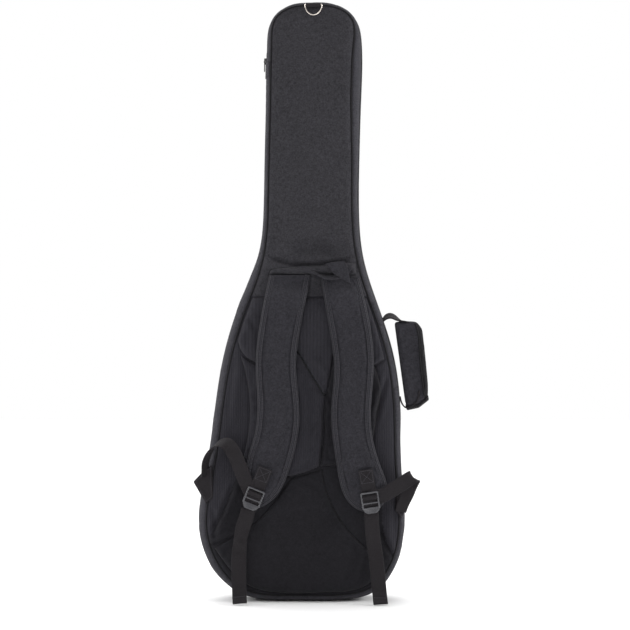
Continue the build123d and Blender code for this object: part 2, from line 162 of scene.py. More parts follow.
def inside(points, loop):
    x, z = points[:, 0][:, None], points[:, 1][:, None]
    ax, az = loop[:, 0], loop[:, 1]
    bx, bz = np.roll(ax, -1), np.roll(az, -1)
    crosses = (az > z) != (bz > z)
    at = ax + (z - az) * (bx - ax) / np.where(bz == az, 1e-9, bz - az)
    return (crosses & (x < at)).sum(1) % 2 == 1


def ripple(points, size, seed):
    """Smooth random values, about -1 to 1, that change over a length of size."""
    return np.array([noise.noise(Vector(p) / size + Vector((seed, 0, 0))) for p in points]) * 1.6


# ------------------------------------------------------------------ materials


def linear(colour):
    return tuple((c / 255 / 12.92 if c < 10.3 else ((c / 255 + 0.055) / 1.055) ** 2.4)
                 for c in colour) + (1,)


class Finish:
    """A material and short ways to add nodes to it."""

    def __init__(self, name, colour, rough, specular=0.3, metallic=0.0, sheen=0.0, coat=0.0):
        self.material = bpy.data.materials.new(name)
        self.material.use_nodes = True
        self.tree = self.material.node_tree
        self.shader = self.tree.nodes["Principled BSDF"]
        self.colour = linear(colour)
        values = {"Base Color": self.colour, "Roughness": rough, "Specular IOR Level": specular,
                  "Metallic": metallic, "Sheen Weight": sheen, "Sheen Roughness": 0.45,
                  "Coat Weight": coat,
                  "Coat Roughness": 0.25}
        for socket, value in values.items():
            self.shader.inputs[socket].default_value = value

    def node(self, kind, settings=None, **inputs):
        made = self.tree.nodes.new("ShaderNode" + kind)
        for key, value in (settings or {}).items():
            setattr(made, key, value)
        for key, value in inputs.items():
            self.join(value, made.inputs[key.replace("_", " ")])
        return made

    def join(self, value, socket):
        if isinstance(value, bpy.types.NodeSocket):
            self.tree.links.new(value, socket)
        else:
            socket.default_value = value

    def math(self, operation, a, b=0.0, c=0.0):
        made = self.tree.nodes.new("ShaderNodeMath")
        made.operation = operation
        for value, socket in zip((a, b, c), made.inputs):
            self.join(value, socket)
        return made.outputs[0]

    def blend(self, share, a, b):
        return self.math("ADD", self.math("MULTIPLY", b, share),
                         self.math("MULTIPLY", a, self.math("SUBTRACT", 1.0, share)))

    def flat(self):
        """Metres along and across the cloth."""
        place = self.node("UVMap", {"uv_map": "cloth"})
        split = self.node("SeparateXYZ", Vector=place.outputs[0])
        return split.outputs[0], split.outputs[1]

    def noise(self, scale, detail=2.0, rough=0.5):
        place = self.node("TexCoord")
        made = self.node("TexNoise", Vector=place.outputs["Object"], Scale=scale, Detail=detail,
                         Roughness=rough)
        return made.outputs[0]

    def wave(self, along, pitch, phase=0.0):
        """0 to 1 to 0 over each pitch, round like a thread."""
        turn = self.math("MULTIPLY_ADD", along, math.pi / pitch, phase)
        return self.math("ABSOLUTE", self.math("SINE", turn))

    def finish(self, height, depth, share, rough=None):
        """Bump from a height and colour that is lighter where share is high, 0.5 being neutral."""
        bump = self.node("Bump", Height=height, Distance=depth, Strength=1.0)
        self.join(bump.outputs[0], self.shader.inputs["Normal"])
        shade = self.node("HueSaturation", Value=self.math("MULTIPLY_ADD", share, 1.0, 0.5),
                          Color=self.colour)
        self.join(shade.outputs[0], self.shader.inputs["Base Color"])
        if rough is not None:
            self.join(rough, self.shader.inputs["Roughness"])
        return self.material


def woven(name, colour, pitch=0.0011, rough=0.86, sheen=0.04, fleck=0.8, blotch=0.35, depth=0.00035):
    """Plain-weave polyester: threads over and under, flecked, with slow changes of tone."""
    f = Finish(name, colour, rough, specular=0.14, sheen=sheen)
    u, v = f.flat()
    over, under = f.wave(u, pitch), f.wave(v, pitch)
    cell = f.node("CombineXYZ", X=f.math("DIVIDE", u, pitch), Y=f.math("DIVIDE", v, pitch), Z=0.25)
    turn = f.node("TexChecker", Vector=cell.outputs[0], Scale=1.0).outputs[1]
    warp = f.math("MULTIPLY", over, f.math("MULTIPLY_ADD", under, 0.4, 0.6))
    weft = f.math("MULTIPLY", under, f.math("MULTIPLY_ADD", over, 0.4, 0.6))
    thread = f.blend(turn, warp, weft)
    grain, mottle, slow = f.noise(420.0, 3.0, 0.7), f.noise(170.0, 3.0, 0.7), f.noise(11.0, 4.0, 0.55)
    height = f.math("MULTIPLY_ADD", grain, 0.7, thread)
    share = f.math("MULTIPLY_ADD", f.math("SUBTRACT", grain, 0.5), fleck * 1.8, 0.5)
    share = f.math("MULTIPLY_ADD", f.math("SUBTRACT", mottle, 0.5), fleck * 1.1, share)
    share = f.math("MULTIPLY_ADD", f.math("SUBTRACT", thread, 0.55), fleck * 0.6, share)
    share = f.math("MULTIPLY_ADD", f.math("SUBTRACT", slow, 0.5), blotch, share)
    return f.finish(height, depth, share, f.math("MULTIPLY_ADD", grain, 0.12, rough - 0.06))


def spacer_mesh(name, colour, pitch=0.0026, rib=0.0062):
    """Air mesh: small holes in rows, with soft ribs that run up the back."""
    f = Finish(name, colour, 0.9, specular=0.12, sheen=0.04)
    u, v = f.flat()
    row = f.math("FLOOR", f.math("DIVIDE", v, pitch * 0.8))
    shift = f.math("MULTIPLY", f.math("MODULO", row, 2.0), math.pi / 2)
    hole = f.math("MULTIPLY", f.wave(u, pitch, shift), f.wave(v, pitch * 0.8))
    open_ = f.math("SMOOTH_MIN", hole, 0.6, 0.2)
    ribs = f.wave(u, rib)
    grain, slow = f.noise(300.0, 3.0, 0.7), f.noise(14.0, 3.0)
    height = f.math("MULTIPLY_ADD", ribs, 0.6, f.math("SUBTRACT", 1.0, open_))
    share = f.math("MULTIPLY_ADD", f.math("SUBTRACT", 0.35, open_), 0.5, 0.5)
    share = f.math("MULTIPLY_ADD", f.math("SUBTRACT", ribs, 0.6), 0.2, share)
    share = f.math("MULTIPLY_ADD", f.math("SUBTRACT", grain, 0.5), 0.5, share)
    share = f.math("MULTIPLY_ADD", f.math("SUBTRACT", slow, 0.5), 0.3, share)
    return f.finish(height, 0.0007, share)


def ribbed(name, colour, across=0.0016, along=0.0011, rough=0.7, sheen=0.03, depth=0.0005, fleck=0.5):
    """Webbing and binding tape: fine lengthwise cords crossed by close picks."""
    f = Finish(name, colour, rough, specular=0.18, sheen=sheen)
    u, v = f.flat()
    cord, pick = f.wave(v, across), f.wave(u, along)
    grain, slow = f.noise(500.0, 2.0, 0.6), f.noise(24.0, 3.0)
    height = f.math("ADD", f.math("MULTIPLY", cord, pick), f.math("MULTIPLY", grain, 0.4))
    share = f.math("MULTIPLY_ADD", f.math("SUBTRACT", f.math("MULTIPLY", cord, pick), 0.4), fleck, 0.5)
    share = f.math("MULTIPLY_ADD", f.math("SUBTRACT", grain, 0.5), fleck, share)
    share = f.math("MULTIPLY_ADD", f.math("SUBTRACT", slow, 0.5), 0.3, share)
    return f.finish(height, depth, share)


def moulded(name, colour, rough, specular=0.5, metallic=0.0, coat=0.0, scratch=0.25):
    """Plastic or metal, with fine wear in the gloss and the tone."""
    f = Finish(name, colour, rough, specular=specular, metallic=metallic, coat=coat)
    grain, slow = f.noise(900.0, 4.0, 0.7), f.noise(70.0, 3.0)
    share = f.math("MULTIPLY_ADD", f.math("SUBTRACT", slow, 0.5), scratch, 0.5)
    worn = f.math("MULTIPLY_ADD", f.math("SUBTRACT", grain, 0.5), scratch, rough)
    return f.finish(grain, 0.00005, share, worn)


SHELL = woven("shell_fabric", (52, 51, 55), fleck=1.0)
GUSSET = woven("gusset_fabric", (57, 56, 61))
# Darker than the shell: partly a darker cloth, partly painted shade for the lower body, which gets less
# light from above.
LOWER_CLOTH_AND_SHADE = woven("lower_fabric", (31, 30, 34), fleck=0.7)
LOBE = spacer_mesh("lobe_mesh", (44, 43, 48), rib=0.004)
# The same dark colour for the back panel below the lobes: partly a darker cloth, partly painted shade
# towards the bottom.
LOBE_LOW_CLOTH_AND_SHADE = woven("lobe_fabric", (31, 30, 34), fleck=0.7)
STRAP = woven("strap_fabric", (47, 46, 51), pitch=0.0009, fleck=1.0)
BINDING = ribbed("binding", (46, 45, 50), across=0.0030, along=0.0024, depth=0.0009, fleck=1.5)
MESH = spacer_mesh("mesh", (47, 46, 51))
PIPING = ribbed("piping", (24, 23, 26), rough=0.6)
LINING = woven("lining", (50, 49, 55), pitch=0.0008, rough=0.6, sheen=0.12, fleck=0.4)
PLUSH = woven("plush", (44, 43, 48), pitch=0.002, rough=0.95, sheen=0.3, depth=0.0006)
WEBBING = ribbed("webbing", (35, 32, 35), fleck=1.0)
GRIP = woven("grip_fabric", (50, 49, 54), pitch=0.0009)
ZIP_TAPE = ribbed("zip", (30, 29, 33), across=0.0012, along=0.0009, depth=0.0003)
TEETH = moulded("zip_teeth", (58, 58, 62), 0.4)
ZIP_METAL = moulded("zip_metal", (44, 42, 43), 0.42, metallic=0.6)
PULLER = moulded("puller", (38, 35, 36), 0.48, specular=0.35)
RING = moulded("ring_metal", (214, 206, 198), 0.18, metallic=1.0)
BUCKLE = moulded("buckle", (54, 54, 59), 0.26, coat=0.6)
THREAD = moulded("thread", (70, 69, 74), 0.7, specular=0.2)

# ------------------------------------------------------------------ pieces from meshes


def shell_of(rings, loop):
    """Faces and cloth coordinates of a surface swept through rings of equal size."""
    count, size = rings.shape[:2]
    rows = count if loop else count - 1
    i, j = np.meshgrid(np.arange(rows), np.arange(size), indexing="ij")
    i2, j2 = (i + 1) % count, (j + 1) % size
    faces = np.stack([i * size + j, i2 * size + j, i2 * size + j2, i * size + j2], -1)
    faces = faces.reshape(-1, 4).tolist()
    if not loop:
        faces += [list(range(size)), list(range((count - 1) * size, count * size))[::-1]]
    middle = rings.mean(1)
    u = lengths(np.vstack([middle, middle[:1]]))
    section = rings[count // 2]
    v = lengths(np.vstack([section, section[:1]]))
    uv = np.stack(np.meshgrid(u[:-1], v[:-1], indexing="ij"), -1).reshape(-1, 2)
    return rings.reshape(-1, 3), faces, uv, (u[-1] if loop else 0.0, v[-1])


def joined(*parts):
    """Several (points, faces, uv, wrap, material number) put into one."""
    points, faces, uvs, numbers, base = [], [], [], [], 0
    for part in parts:
        p, f, uv, _, number = part
        points.append(p)
        uvs.append(uv)
        faces += [[k + base for k in face] for face in f]
        numbers += [number] * len(f)
        base += len(p)
    return np.vstack(points), faces, np.vstack(uvs), numbers


def piece(name, body, points, faces, uv, materials, slot, nodes=(), wrap=(0.0, 0.0), numbers=None,
          weld=0.0, ride=True):
    """A mesh object in metres that stands for CAD nodes and rides on a body."""
    mesh = bpy.data.meshes.new(name)
    mesh.from_pydata((np.asarray(points) * MM).tolist(), [], faces)
    layer = mesh.uv_layers.new(name="cloth")
    index = np.empty(len(mesh.loops), np.int32)
    mesh.loops.foreach_get("vertex_index", index)
    cloth = np.asarray(uv)[index]
    start = np.array([p.loop_start for p in mesh.polygons])
    for axis in (0, 1):
        if wrap[axis]:
            high = np.maximum.reduceat(cloth[:, axis], start)
            totals = np.diff(np.append(start, len(index)))
            low_part = cloth[:, axis] < np.repeat(high, totals) - wrap[axis] / 2
            cloth[low_part, axis] += wrap[axis]
    layer.data.foreach_set("uv", (cloth * MM).ravel())
    for material in materials:
        mesh.materials.append(material)
    if numbers is not None:
        mesh.polygons.foreach_set("material_index", numbers)
    work = bmesh.new()
    work.from_mesh(mesh)
    if weld:
        bmesh.ops.remove_doubles(work, verts=work.verts, dist=weld * MM)
    bmesh.ops.recalc_face_normals(work, faces=work.faces)
    work.to_mesh(mesh)
    work.free()
    mesh.polygons.foreach_set("use_smooth", [True] * len(mesh.polygons))
    mesh.update()
    made = bpy.data.objects.new(name, mesh)
    bpy.context.scene.collection.objects.link(made)
    if ride:
        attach(made, body)
    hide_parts(*nodes)
    return made


def sharpen(made, degrees):
    made.data.set_sharp_from_angle(angle=math.radians(degrees))
    return made


def sheet_of(loop, spacing, rings=(1.5, 3.5)):
    """Triangles over a loop in (x, z), finer along its edge: points, faces, edge order, depth."""
    loop = clockwise(loop)
    normal = inward(loop)
    low, high = loop.min(0), loop.max(0)
    spots = []
    for row, z in enumerate(np.arange(low[1], high[1], spacing * 0.87)):
        xs = np.arange(low[0] + (row % 2) * spacing / 2, high[0], spacing)
        spots.append(np.stack([xs, np.full(len(xs), z)], 1))
    spots = np.vstack(spots)
    spots = spots[inside(spots, loop)]
    depth = nearest(spots, loop, closed=True)[0]
    last = rings[-1] if rings else 0.0
    kept = [spots[depth > last + spacing * 0.55]]
    for inset in rings:
        ring = loop + normal * inset
        ring = ring[inside(ring, loop)]
        kept.append(ring[nearest(ring, loop, closed=True)[0] > inset * 0.93])
    every = np.vstack([loop] + kept)
    out = delaunay_2d_cdt([Vector(p) for p in every], [], [list(range(len(loop)))], 1, 1e-4)
    points = np.array([tuple(p) for p in out[0]])
    faces = [list(f) for f in out[2]]
    origin = {}
    for k, sources in enumerate(out[3]):
        for s in sources:
            origin[s] = k
    edge = [origin[k] for k in range(len(loop))]
    return points, faces, edge, nearest(points, loop, closed=True)[0]


def pad(loop, spacing, front, back, rings=(1.5, 3.5)):
    """A closed form over a loop between two heights, each a function of (points, depth from the edge)."""
    flat, faces, edge, depth = sheet_of(loop, spacing, rings)
    count = len(flat)
    face_y, rear_y = front(flat, depth), back(flat, depth)
    points = np.vstack([np.stack([flat[:, 0], face_y, flat[:, 1]], 1),
                        np.stack([flat[:, 0], rear_y, flat[:, 1]], 1)])
    rear = [[k + count for k in face[::-1]] for face in faces]
    wall = [[edge[k], edge[(k + 1) % len(edge)], edge[(k + 1) % len(edge)] + count, edge[k] + count]
            for k in range(len(edge)) if abs(face_y[edge[k]] - rear_y[edge[k]]) > 0.01]
    if not wall:
        swap = dict(zip([k + count for k in edge], edge))
        rear = [[swap.get(k, k) for k in face] for face in rear]
    uv = np.vstack([flat, flat])
    return points, faces + rear + wall, uv, (0.0, 0.0), np.concatenate([depth, depth])


def strip(frames, width, thick, step=3.0, edge=0.35):
    """Webbing along a 3-D line: each frame is a centre and a width direction, shorter where it narrows."""
    line = curve(np.array(frames, float), step)
    centre, side = line[:, :3], line[:, 3:]
    size = np.clip(np.linalg.norm(side, axis=1), 0.2, 1.6)[:, None]
    along = np.gradient(centre, axis=0)
    along /= np.linalg.norm(along, axis=1)[:, None]
    side -= (side * along).sum(1)[:, None] * along
    side /= np.linalg.norm(side, axis=1)[:, None]
    up = np.cross(along, side)
    h, t = width / 2, thick / 2
    section = [(-h, 0), (-h + edge, t), (-h + 3 * edge, t * 1.1), (-h / 2, t * 0.9), (0, t * 0.85),
               (h / 2, t * 0.9), (h - 3 * edge, t * 1.1), (h - edge, t), (h, 0), (h - edge, -t),
               (h - 3 * edge, -t * 1.1), (h / 2, -t * 0.9), (0, -t * 0.85), (-h / 2, -t * 0.9),
               (-h + 3 * edge, -t * 1.1), (-h + edge, -t)]
    rings = np.stack([centre + side * size * a + up * b for a, b in section], 1)
    points, faces, uv, wrap = shell_of(rings, False)
    return points, faces, uv, wrap, 0


def tube(path, radius, loop=False, sides=10, step=3.0, flat=1.0):
    """A round cord along a 3-D line."""
    centre = np.asarray(path, float) if loop else curve(path, step)
    along = (np.roll(centre, -1, 0) - np.roll(centre, 1, 0)) if loop else np.gradient(centre, axis=0)
    along /= np.linalg.norm(along, axis=1)[:, None]
    hint = np.array([0.0, 1.0, 0.0])
    side = np.cross(along, hint)
    side /= np.maximum(np.linalg.norm(side, axis=1)[:, None], 1e-6)
    up = np.cross(side, along)
    turn = np.linspace(0, 2 * math.pi, sides, endpoint=False)
    rings = np.stack([centre + side * (radius * math.cos(a)) + up * (radius * flat * math.sin(a))
                      for a in turn], 1)
    points, faces, uv, wrap = shell_of(rings, loop)
    return points, faces, uv, wrap, 0


def stitches(path, out, pitch=4.2, length=3.0, half=0.42, rise=0.55, closed=False):
    """Raised stitches in a row along a 3-D line; out is the outward direction at each point."""
    path, out = np.asarray(path, float), np.asarray(out, float)
    if closed:
        path, out = np.vstack([path, path[:1]]), np.vstack([out, out[:1]])
    line = even(np.hstack([path, out]), 0.7)
    where = lengths(line[:, :3])
    points, faces, uv = [], [], []
    for start in np.arange(0.5, where[-1] - length, pitch):
        ends = [np.array([np.interp(start + length * s, where, line[:, k]) for k in range(6)])
                for s in (0.0, 0.25, 0.75, 1.0)]
        along = ends[3][:3] - ends[0][:3]
        along /= max(np.linalg.norm(along), 1e-6)
        base = len(points)
        for place, share in zip(ends, (0.3, 1.0, 1.0, 0.3)):
            up = place[3:] / max(np.linalg.norm(place[3:]), 1e-6)
            side = np.cross(along, up)
            for a, b in ((-half, -0.3), (-half * 0.6, rise * share), (half * 0.6, rise * share),
                         (half, -0.3)):
                points.append(place[:3] + side * a * (0.5 + share / 2) + up * b)
                uv.append((len(uv), 0.0))
        for k in range(3):
            for j in range(4):
                a, b = base + k * 4 + j, base + k * 4 + (j + 1) % 4
                faces.append([a, b, b + 4, a + 4])
        faces += [[base + 3, base + 2, base + 1, base], [base + 12, base + 13, base + 14, base + 15]]
    return np.array(points), faces, np.array(uv), (0.0, 0.0), 1


# ------------------------------------------------------------------ the bag's outline and cross-sections

OUTLINE = ((-62, 0), (-94, 3.5), (-124, 14), (-171, 57), (-195, 141), (-185, 214), (-173, 287),
           (-153, 420), (-115, 540), (-90, 606), (-81, 690), (-79, 790), (-77, 880), (-75, 975),
           (-66, 1015), (-40, 1037), (3, 1044), (50, 1038), (78, 1016), (88, 975), (87, 880), (84, 780),
           (83, 690), (91, 598), (112, 528), (142, 436), (156, 335), (159, 235), (165, 141), (148, 59),
           (109, 14), (76, 3.5), (43, 0))
RIM = closed_by_lines(curve(OUTLINE))
RIM_IN = inward(RIM)
BACK_Y, FRONT_Y, GUSSET_REACH = -39.5, 43.5, 41.0
TOP_Z, LOW_LEFT, LOW_RIGHT = 955.0, (-240.0, 137.0), (240.0, 80.0)


def rim(inset):
    """The outline moved in by a distance that may change from point to point."""
    return RIM + RIM_IN * np.broadcast_to(inset, len(RIM))[:, None]


# How far in from the silhouette the seam of the back panel runs, by height, on each side.
LEFT_SEAM = ((0, 12), (12, 12), (60, 15), (545, 15), (620, 9), (700, 8), (900, 8.5), (960, 9), (1005, 6.5),
             (1025, 6), (1044, 8))
RIGHT_SEAM = ((0, 12), (12, 12), (60, 11), (640, 10.5), (760, 11), (830, 14), (880, 16.5), (945, 17),
              (985, 11), (1008, 7), (1025, 6), (1044, 8))


def seam_inset():
    x, z = RIM[:, 0], RIM[:, 1]
    left = np.interp(z, *np.array(LEFT_SEAM, float).T)
    right = np.interp(z, *np.array(RIGHT_SEAM, float).T)
    inset = np.where(x < 0, left, right)
    kernel = np.ones(15) / 15
    return np.convolve(np.concatenate([inset[-7:], inset, inset[:7]]), kernel, "valid")


SEAM = seam_inset()
FRONT_SEAM = np.full(len(RIM), 9.0)
PANEL = rim(SEAM)
across = (RIM[:, 0] - LOW_LEFT[0]) * (LOW_RIGHT[1] - LOW_LEFT[1]) / (LOW_RIGHT[0] - LOW_LEFT[0])
line_z = LOW_LEFT[1] + across
BAND = np.where(RIM[:, 1] > TOP_Z, 0, np.where(RIM[:, 1] < line_z, 3, np.where(RIM[:, 0] < 0, 1, 2)))
BAND_NAMES = ("top", "left", "right", "bottom")


def run_of(chosen):
    """Indices of a contiguous run round the rim, in order."""
    chosen = np.asarray(chosen)
    start = next(k for k in range(len(chosen)) if chosen[k] and not chosen[k - 1])
    return [(start + k) % len(chosen) for k in range(int(chosen.sum()))]


RUNS = {name: run_of(BAND == k) for k, name in enumerate(BAND_NAMES)}


def rings_at(index, section):
    """Cross-sections of the rim: section holds (inset array over the rim, y) pairs."""
    layers = []
    for inset, y in section:
        place = rim(inset)[index]
        layers.append(np.stack([place[:, 0], np.broadcast_to(y, len(RIM))[index], place[:, 1]], 1))
    return np.stack(layers, 1)


# ------------------------------------------------------------------ relief of the back

# Each crease: its line in (x, z), depth, half-width, swell beside it, and swell on one side only.
CREASES = (
    (((-79, 606), (-62, 594), (-47, 588), (-7, 584), (30, 585), (56, 589), (76, 601)), 6.5, 3.6, 3.4,
     -4.6),
    (((-40, 611), (-10, 617), (14, 617), (46, 609)), 11.0, 10.5, 0.0, 0.0),
    (((-122, 531), (-60, 532), (20, 531), (112, 530)), 1.5, 1.6, 0.7, 0.0),
    (((-128, 437), (-135, 400), (-140, 360), (-144, 313)), 2.4, 4.5, 1.8, 0.0),
    (((-129, 214), (-140, 186), (-152, 156), (-173, 118)), 6.5, 3.0, 3.0, 2.6),
    (((-175, 99), (-156, 106), (-134, 117)), 4.0, 2.8, 2.2, 1.5),
    (((-172, 168), (-165, 138), (-168, 100)), 2.6, 4.0, 1.6, 0.0),
    (((134, 398), (126, 366), (118, 335), (113, 311)), 4.2, 3.4, 2.4, -1.8),
    (((130, 424), (120, 416), (110, 411)), 2.6, 2.4, 1.0, 0.0),
    (((123, 130), (132, 104), (141, 86), (152, 72)), 4.4, 3.0, 2.2, 1.4),
    (((150, 170), (146, 142), (150, 112)), 2.6, 4.0, 1.6, 0.0),
    (((26, 345), (22, 322), (24, 296), (20, 262), (16, 234)), 2.4, 2.2, 1.2, -0.8),
    (((24, 372), (31, 360), (40, 342)), 2.8, 3.6, 1.0, 0.0),
    (((3, 420), (14, 396), (24, 372)), 1.4, 4.0, 1.0, 1.0),
    (((-24, 398), (-10, 372), (-2, 340), (-8, 300)), 1.5, 5.0, 0.8, -1.0),
    (((6, 318), (0, 290), (4, 262)), 1.2, 5.0, 0.8, 0.0),
    (((-112, 520), (-104, 512), (-92, 508)), 1.2, 3.0, 0.6, 0.0),
    (((-114, 506), (-104, 490), (-96, 470)), 1.0, 4.0, 0.6, 0.0),
    (((-64, 130), (-20, 150), (30, 150), (58, 128)), 0.9, 14.0, 0.0, 0.0),
    (((-90, 60), (-40, 72), (30, 74), (76, 60)), 0.8, 16.0, 0.0, 0.0),
)
CREASES = [(curve(crease[0], 2.0), *crease[1:]) for crease in CREASES]


def back_y(flat, depth=None):
    """Where the outer face of the back lies, before any pad is added on it."""
    if depth is None:
        depth = nearest(flat, PANEL, closed=True)[0]
    body = smooth((585 - flat[:, 1]) / 90)
    y = -41.0 - 4.6 * (1 - np.exp(-depth / 4.0)) - (1.8 + 3.2 * body) * (1 - np.exp(-depth / 34.0))
    for line, deep, half, swell, lean in CREASES:
        near = (flat[:, 0] > line[:, 0].min() - 50) & (flat[:, 0] < line[:, 0].max() + 50)
        near &= (flat[:, 1] > line[:, 1].min() - 50) & (flat[:, 1] < line[:, 1].max() + 50)
        if not near.any():
            continue
        away, place, side = nearest(flat[near], line)
        fade = smooth(np.minimum(place, 1 - place) / 0.22) * 0.85 + 0.15
        fade *= smooth(depth[near] / 6.0)
        change = deep * np.exp(-(away / half) ** 2)
        change -= swell * np.exp(-((away - 2.4 * half) / (1.7 * half)) ** 2)
        change -= lean * side * smooth(away / half) * np.exp(-(away / (5 * half)) ** 2)
        y[near] += change * fade
    points = upright(flat)
    y += (0.55 + 0.5 * body) * ripple(points, 52.0, 3.0) * smooth(depth / 15)
    return y + 0.22 * ripple(points, 14.0, 8.0) * smooth(depth / 8)


def front_y(flat, depth):
    """Where the outer face of the lid's panel lies."""
    y = 44.0 + 4.2 * (1 - np.exp(-depth / 4.0)) + 2.6 * (1 - np.exp(-depth / 34.0))
    points = upright(flat)
    return y + 0.7 * ripple(points, 60.0, 21.0) * smooth(depth / 15)


# ------------------------------------------------------------------ gussets, panels, piping, linings


def gusset(side, name, body, seed):
    """One quarter of the padded edge, from its panel's seam to the zip."""
    index = RUNS[name] + [(RUNS[name][-1] + 1) % len(RIM)]
    back = side == "back"
    seam = SEAM if back else FRONT_SEAM
    hinge = name == "left"
    if back:
        seam_y, zip_edge = BACK_Y, (6.0 if hinge else 1.2)
    else:
        seam_y, zip_edge = FRONT_Y, (7.0 if hinge else 11.8)
    shares = ((1.0, 0.02), (0.9, -0.015), (0.7, -0.02), (0.48, 0.03), (0.27, 0.12), (0.11, 0.25),
              (0.02, 0.42), (0.0, 0.62), (0.0, 0.84), (0.04, 0.97), (0.12, 1.0))
    section = [(seam * s, seam_y + (zip_edge - seam_y) * t) for s, t in shares]
    turned_in = 4.6 if hinge or not back else 4.2
    section += [(np.full(len(RIM), turned_in), zip_edge),
                (np.full(len(RIM), 9.6), zip_edge - (1.5 if back else -1.5)),
                (np.full(len(RIM), 10.1), zip_edge + (seam_y - zip_edge) * 0.5),
                (np.maximum(seam + 1.5, 10.3), seam_y - (-4.0 if back else 4.0)),
                (seam + 1.0, seam_y - (-2.0 if back else 2.0))]
    rings = rings_at(index, section)
    count = len(index)
    end = np.minimum(np.arange(count), np.arange(count)[::-1]) * 3.0
    low = smooth((600 - RIM[index, 1]) / 100)
    pinch = 0.5 * low * np.exp(-(end / 2.6) ** 2)
    outer = slice(1, 9)
    waves = ripple(rings[:, outer].reshape(-1, 3), 34.0, seed).reshape(count, 8) * 0.55
    waves += ripple(rings[:, outer].reshape(-1, 3), 11.0, seed + 5).reshape(count, 8) * 0.18
    sink = (waves - 0.25 + pinch[:, None]) * np.array([0.4, 0.7, 1, 1, 1, 1, 0.9, 0.5])
    rings[:, outer, 0] += RIM_IN[index, 0][:, None] * sink
    rings[:, outer, 2] += RIM_IN[index, 1][:, None] * sink
    rings[:, 2:6, 1] += (1 if back else -1) * (pinch[:, None] + waves[:, 1:5] * 0.6)
    rings[:, :, 2] = np.maximum(rings[:, :, 2], 0.0)
    points, faces, uv, wrap = shell_of(rings, False)
    made = piece(f"{side}_gusset_{name}_cloth", body, points, faces, uv, [GUSSET], "gusset_fabric",
                 [f"{side}_gusset_{name}"], wrap)
    return sharpen(made, 62)


for k, name in enumerate(BAND_NAMES):
    gusset("back", name, "shell", 11.0 + 7 * k)
    gusset("front", name, "lid", 60.0 + 7 * k)


def inner_face(y):
    return lambda flat, depth: np.full(len(flat), y)


points, faces, uv, *_ = pad(rim(FRONT_SEAM), 6.0, front_y, inner_face(40.3))
piece("front_panel_cloth", "lid", points, faces, uv, [SHELL], "shell_fabric", ["front_panel"])


def piping(name, body, seam, y, node):
    place = rim(seam - 0.6)
    cord = tube(np.stack([place[:, 0], np.full(len(RIM), y), place[:, 1]], 1), 1.35, loop=True)
    points, faces, uv, wrap, _ = cord
    points[:, 2] = np.maximum(points[:, 2], 0.0)
    piece(name, body, points, faces, uv, [PIPING], "piping", [node], wrap)


piping("back_piping_cord", "shell", SEAM, -41.6, "back_piping")
piping("front_piping_cord", "lid", FRONT_SEAM, 44.6, "front_piping")


def lining(name, body, y_deep, y_edge, node):
    """A thin bag inside: a flat bottom with a wall round it."""
    thick = 1.1 if y_edge > y_deep else -1.1
    bottom = pad(rim(11.4), 12.0, inner_face(y_deep), inner_face(y_deep + thick), rings=())
    wall = rings_at(list(range(len(RIM))), ((10.3, y_deep), (10.4, y_edge - thick), (9.6, y_edge),
                                            (10.8, y_edge + 0.2), (11.5, y_edge - thick), (11.5, y_deep)))
    p, f, t, w = shell_of(wall, True)
    points, faces, uv, _ = joined((p, f, t, w, 0), (*bottom[:4], 0))
    sharpen(piece(name, body, points, faces, uv, [LINING], "lining", [node], w), 50)


lining("back_lining_cloth", "shell", -35.6, 0.6, "back_lining")
lining("front_lining_cloth", "lid", 39.6, 12.4, "front_lining")

# ------------------------------------------------------------------ the main zip


def zip_run():
    """Rim indices from the zip's start on the left of the neck, over the top, to the left of the base."""
    open_part = (BAND != 1) | (RIM[:, 1] > 931)
    return run_of(open_part)


ZIP = zip_run()


def teeth(place, out, y, towards, start, pitch=2.5):
    """A row of moulded teeth along a line in (x, z), reaching from y towards the middle of the zip."""
    line = even(np.hstack([place, out]), 0.5)
    where = lengths(line[:, :2])
    points, faces = [], []
    for s in np.arange(start, where[-1] - pitch, pitch):
        x, z, nx, nz = (np.interp(s, where, line[:, k]) for k in range(4))
        size = math.hypot(nx, nz)
        nx, nz = nx / size, nz / size
        tx, tz = nz, -nx
        base = len(points)
        for depth_y, half, rise in ((-1.4 * towards, 0.75, 0.9), (0.0, 0.85, 1.3),
                                    (0.9 * towards, 0.62, 1.0)):
            for a, b in ((-half, -0.9), (-half, rise * 0.5), (-half * 0.5, rise), (half * 0.5, rise),
                         (half, rise * 0.5), (half, -0.9)):
                points.append((x + tx * a + nx * b, y + depth_y, z + tz * a + nz * b))
        for k in range(2):
            for j in range(6):
                a, b = base + k * 6 + j, base + k * 6 + (j + 1) % 6
                faces.append([a, b, b + 6, a + 6])
        faces += [[base + j for j in range(6)][::-1], [base + 12 + j for j in range(6)]]
    points = np.array(points)
    return points, faces, points[:, [0, 2]], (0.0, 0.0), 1


def zip_half(name, body, node, near_y, far_y, towards, start):
    """Tape sewn into the gusset, with its own row of teeth along the free edge."""
    proud = 2.3 * smooth((RIM[:, 0] - 40) / 20) * smooth((RIM[:, 1] - 250) / 80)
    tape = rings_at(ZIP, ((0.7 - proud * 0.7, near_y), (0.55 - proud, (near_y + far_y) / 2),
                          (0.9 - proud, far_y), (1.9, far_y), (2.0, near_y)))
    p, f, t, w = shell_of(tape, False)
    place, out = rim(0.6 - proud)[ZIP], -RIM_IN[ZIP]
    coil = teeth(place, out, far_y, towards, start)
    points, faces, uv, numbers = joined((p, f, t, w, 0), coil)
    points[:, 2] = np.maximum(points[:, 2], 0.0)
    piece(name, body, points, faces, uv, [ZIP_TAPE, TEETH], "zip", [node], w, numbers)


zip_half("zip_tape_back_teeth", "shell", "zip_tape_back", 0.6, 5.6, 1.0, 0.0)
zip_half("zip_tape_front_teeth", "lid", "zip_tape_front", 12.4, 7.4, -1.0, 1.25)

# ------------------------------------------------------------------ simulation of padded pieces


SETTLE_FRAMES, CLOTH_STIFFNESS = 20, 12.0


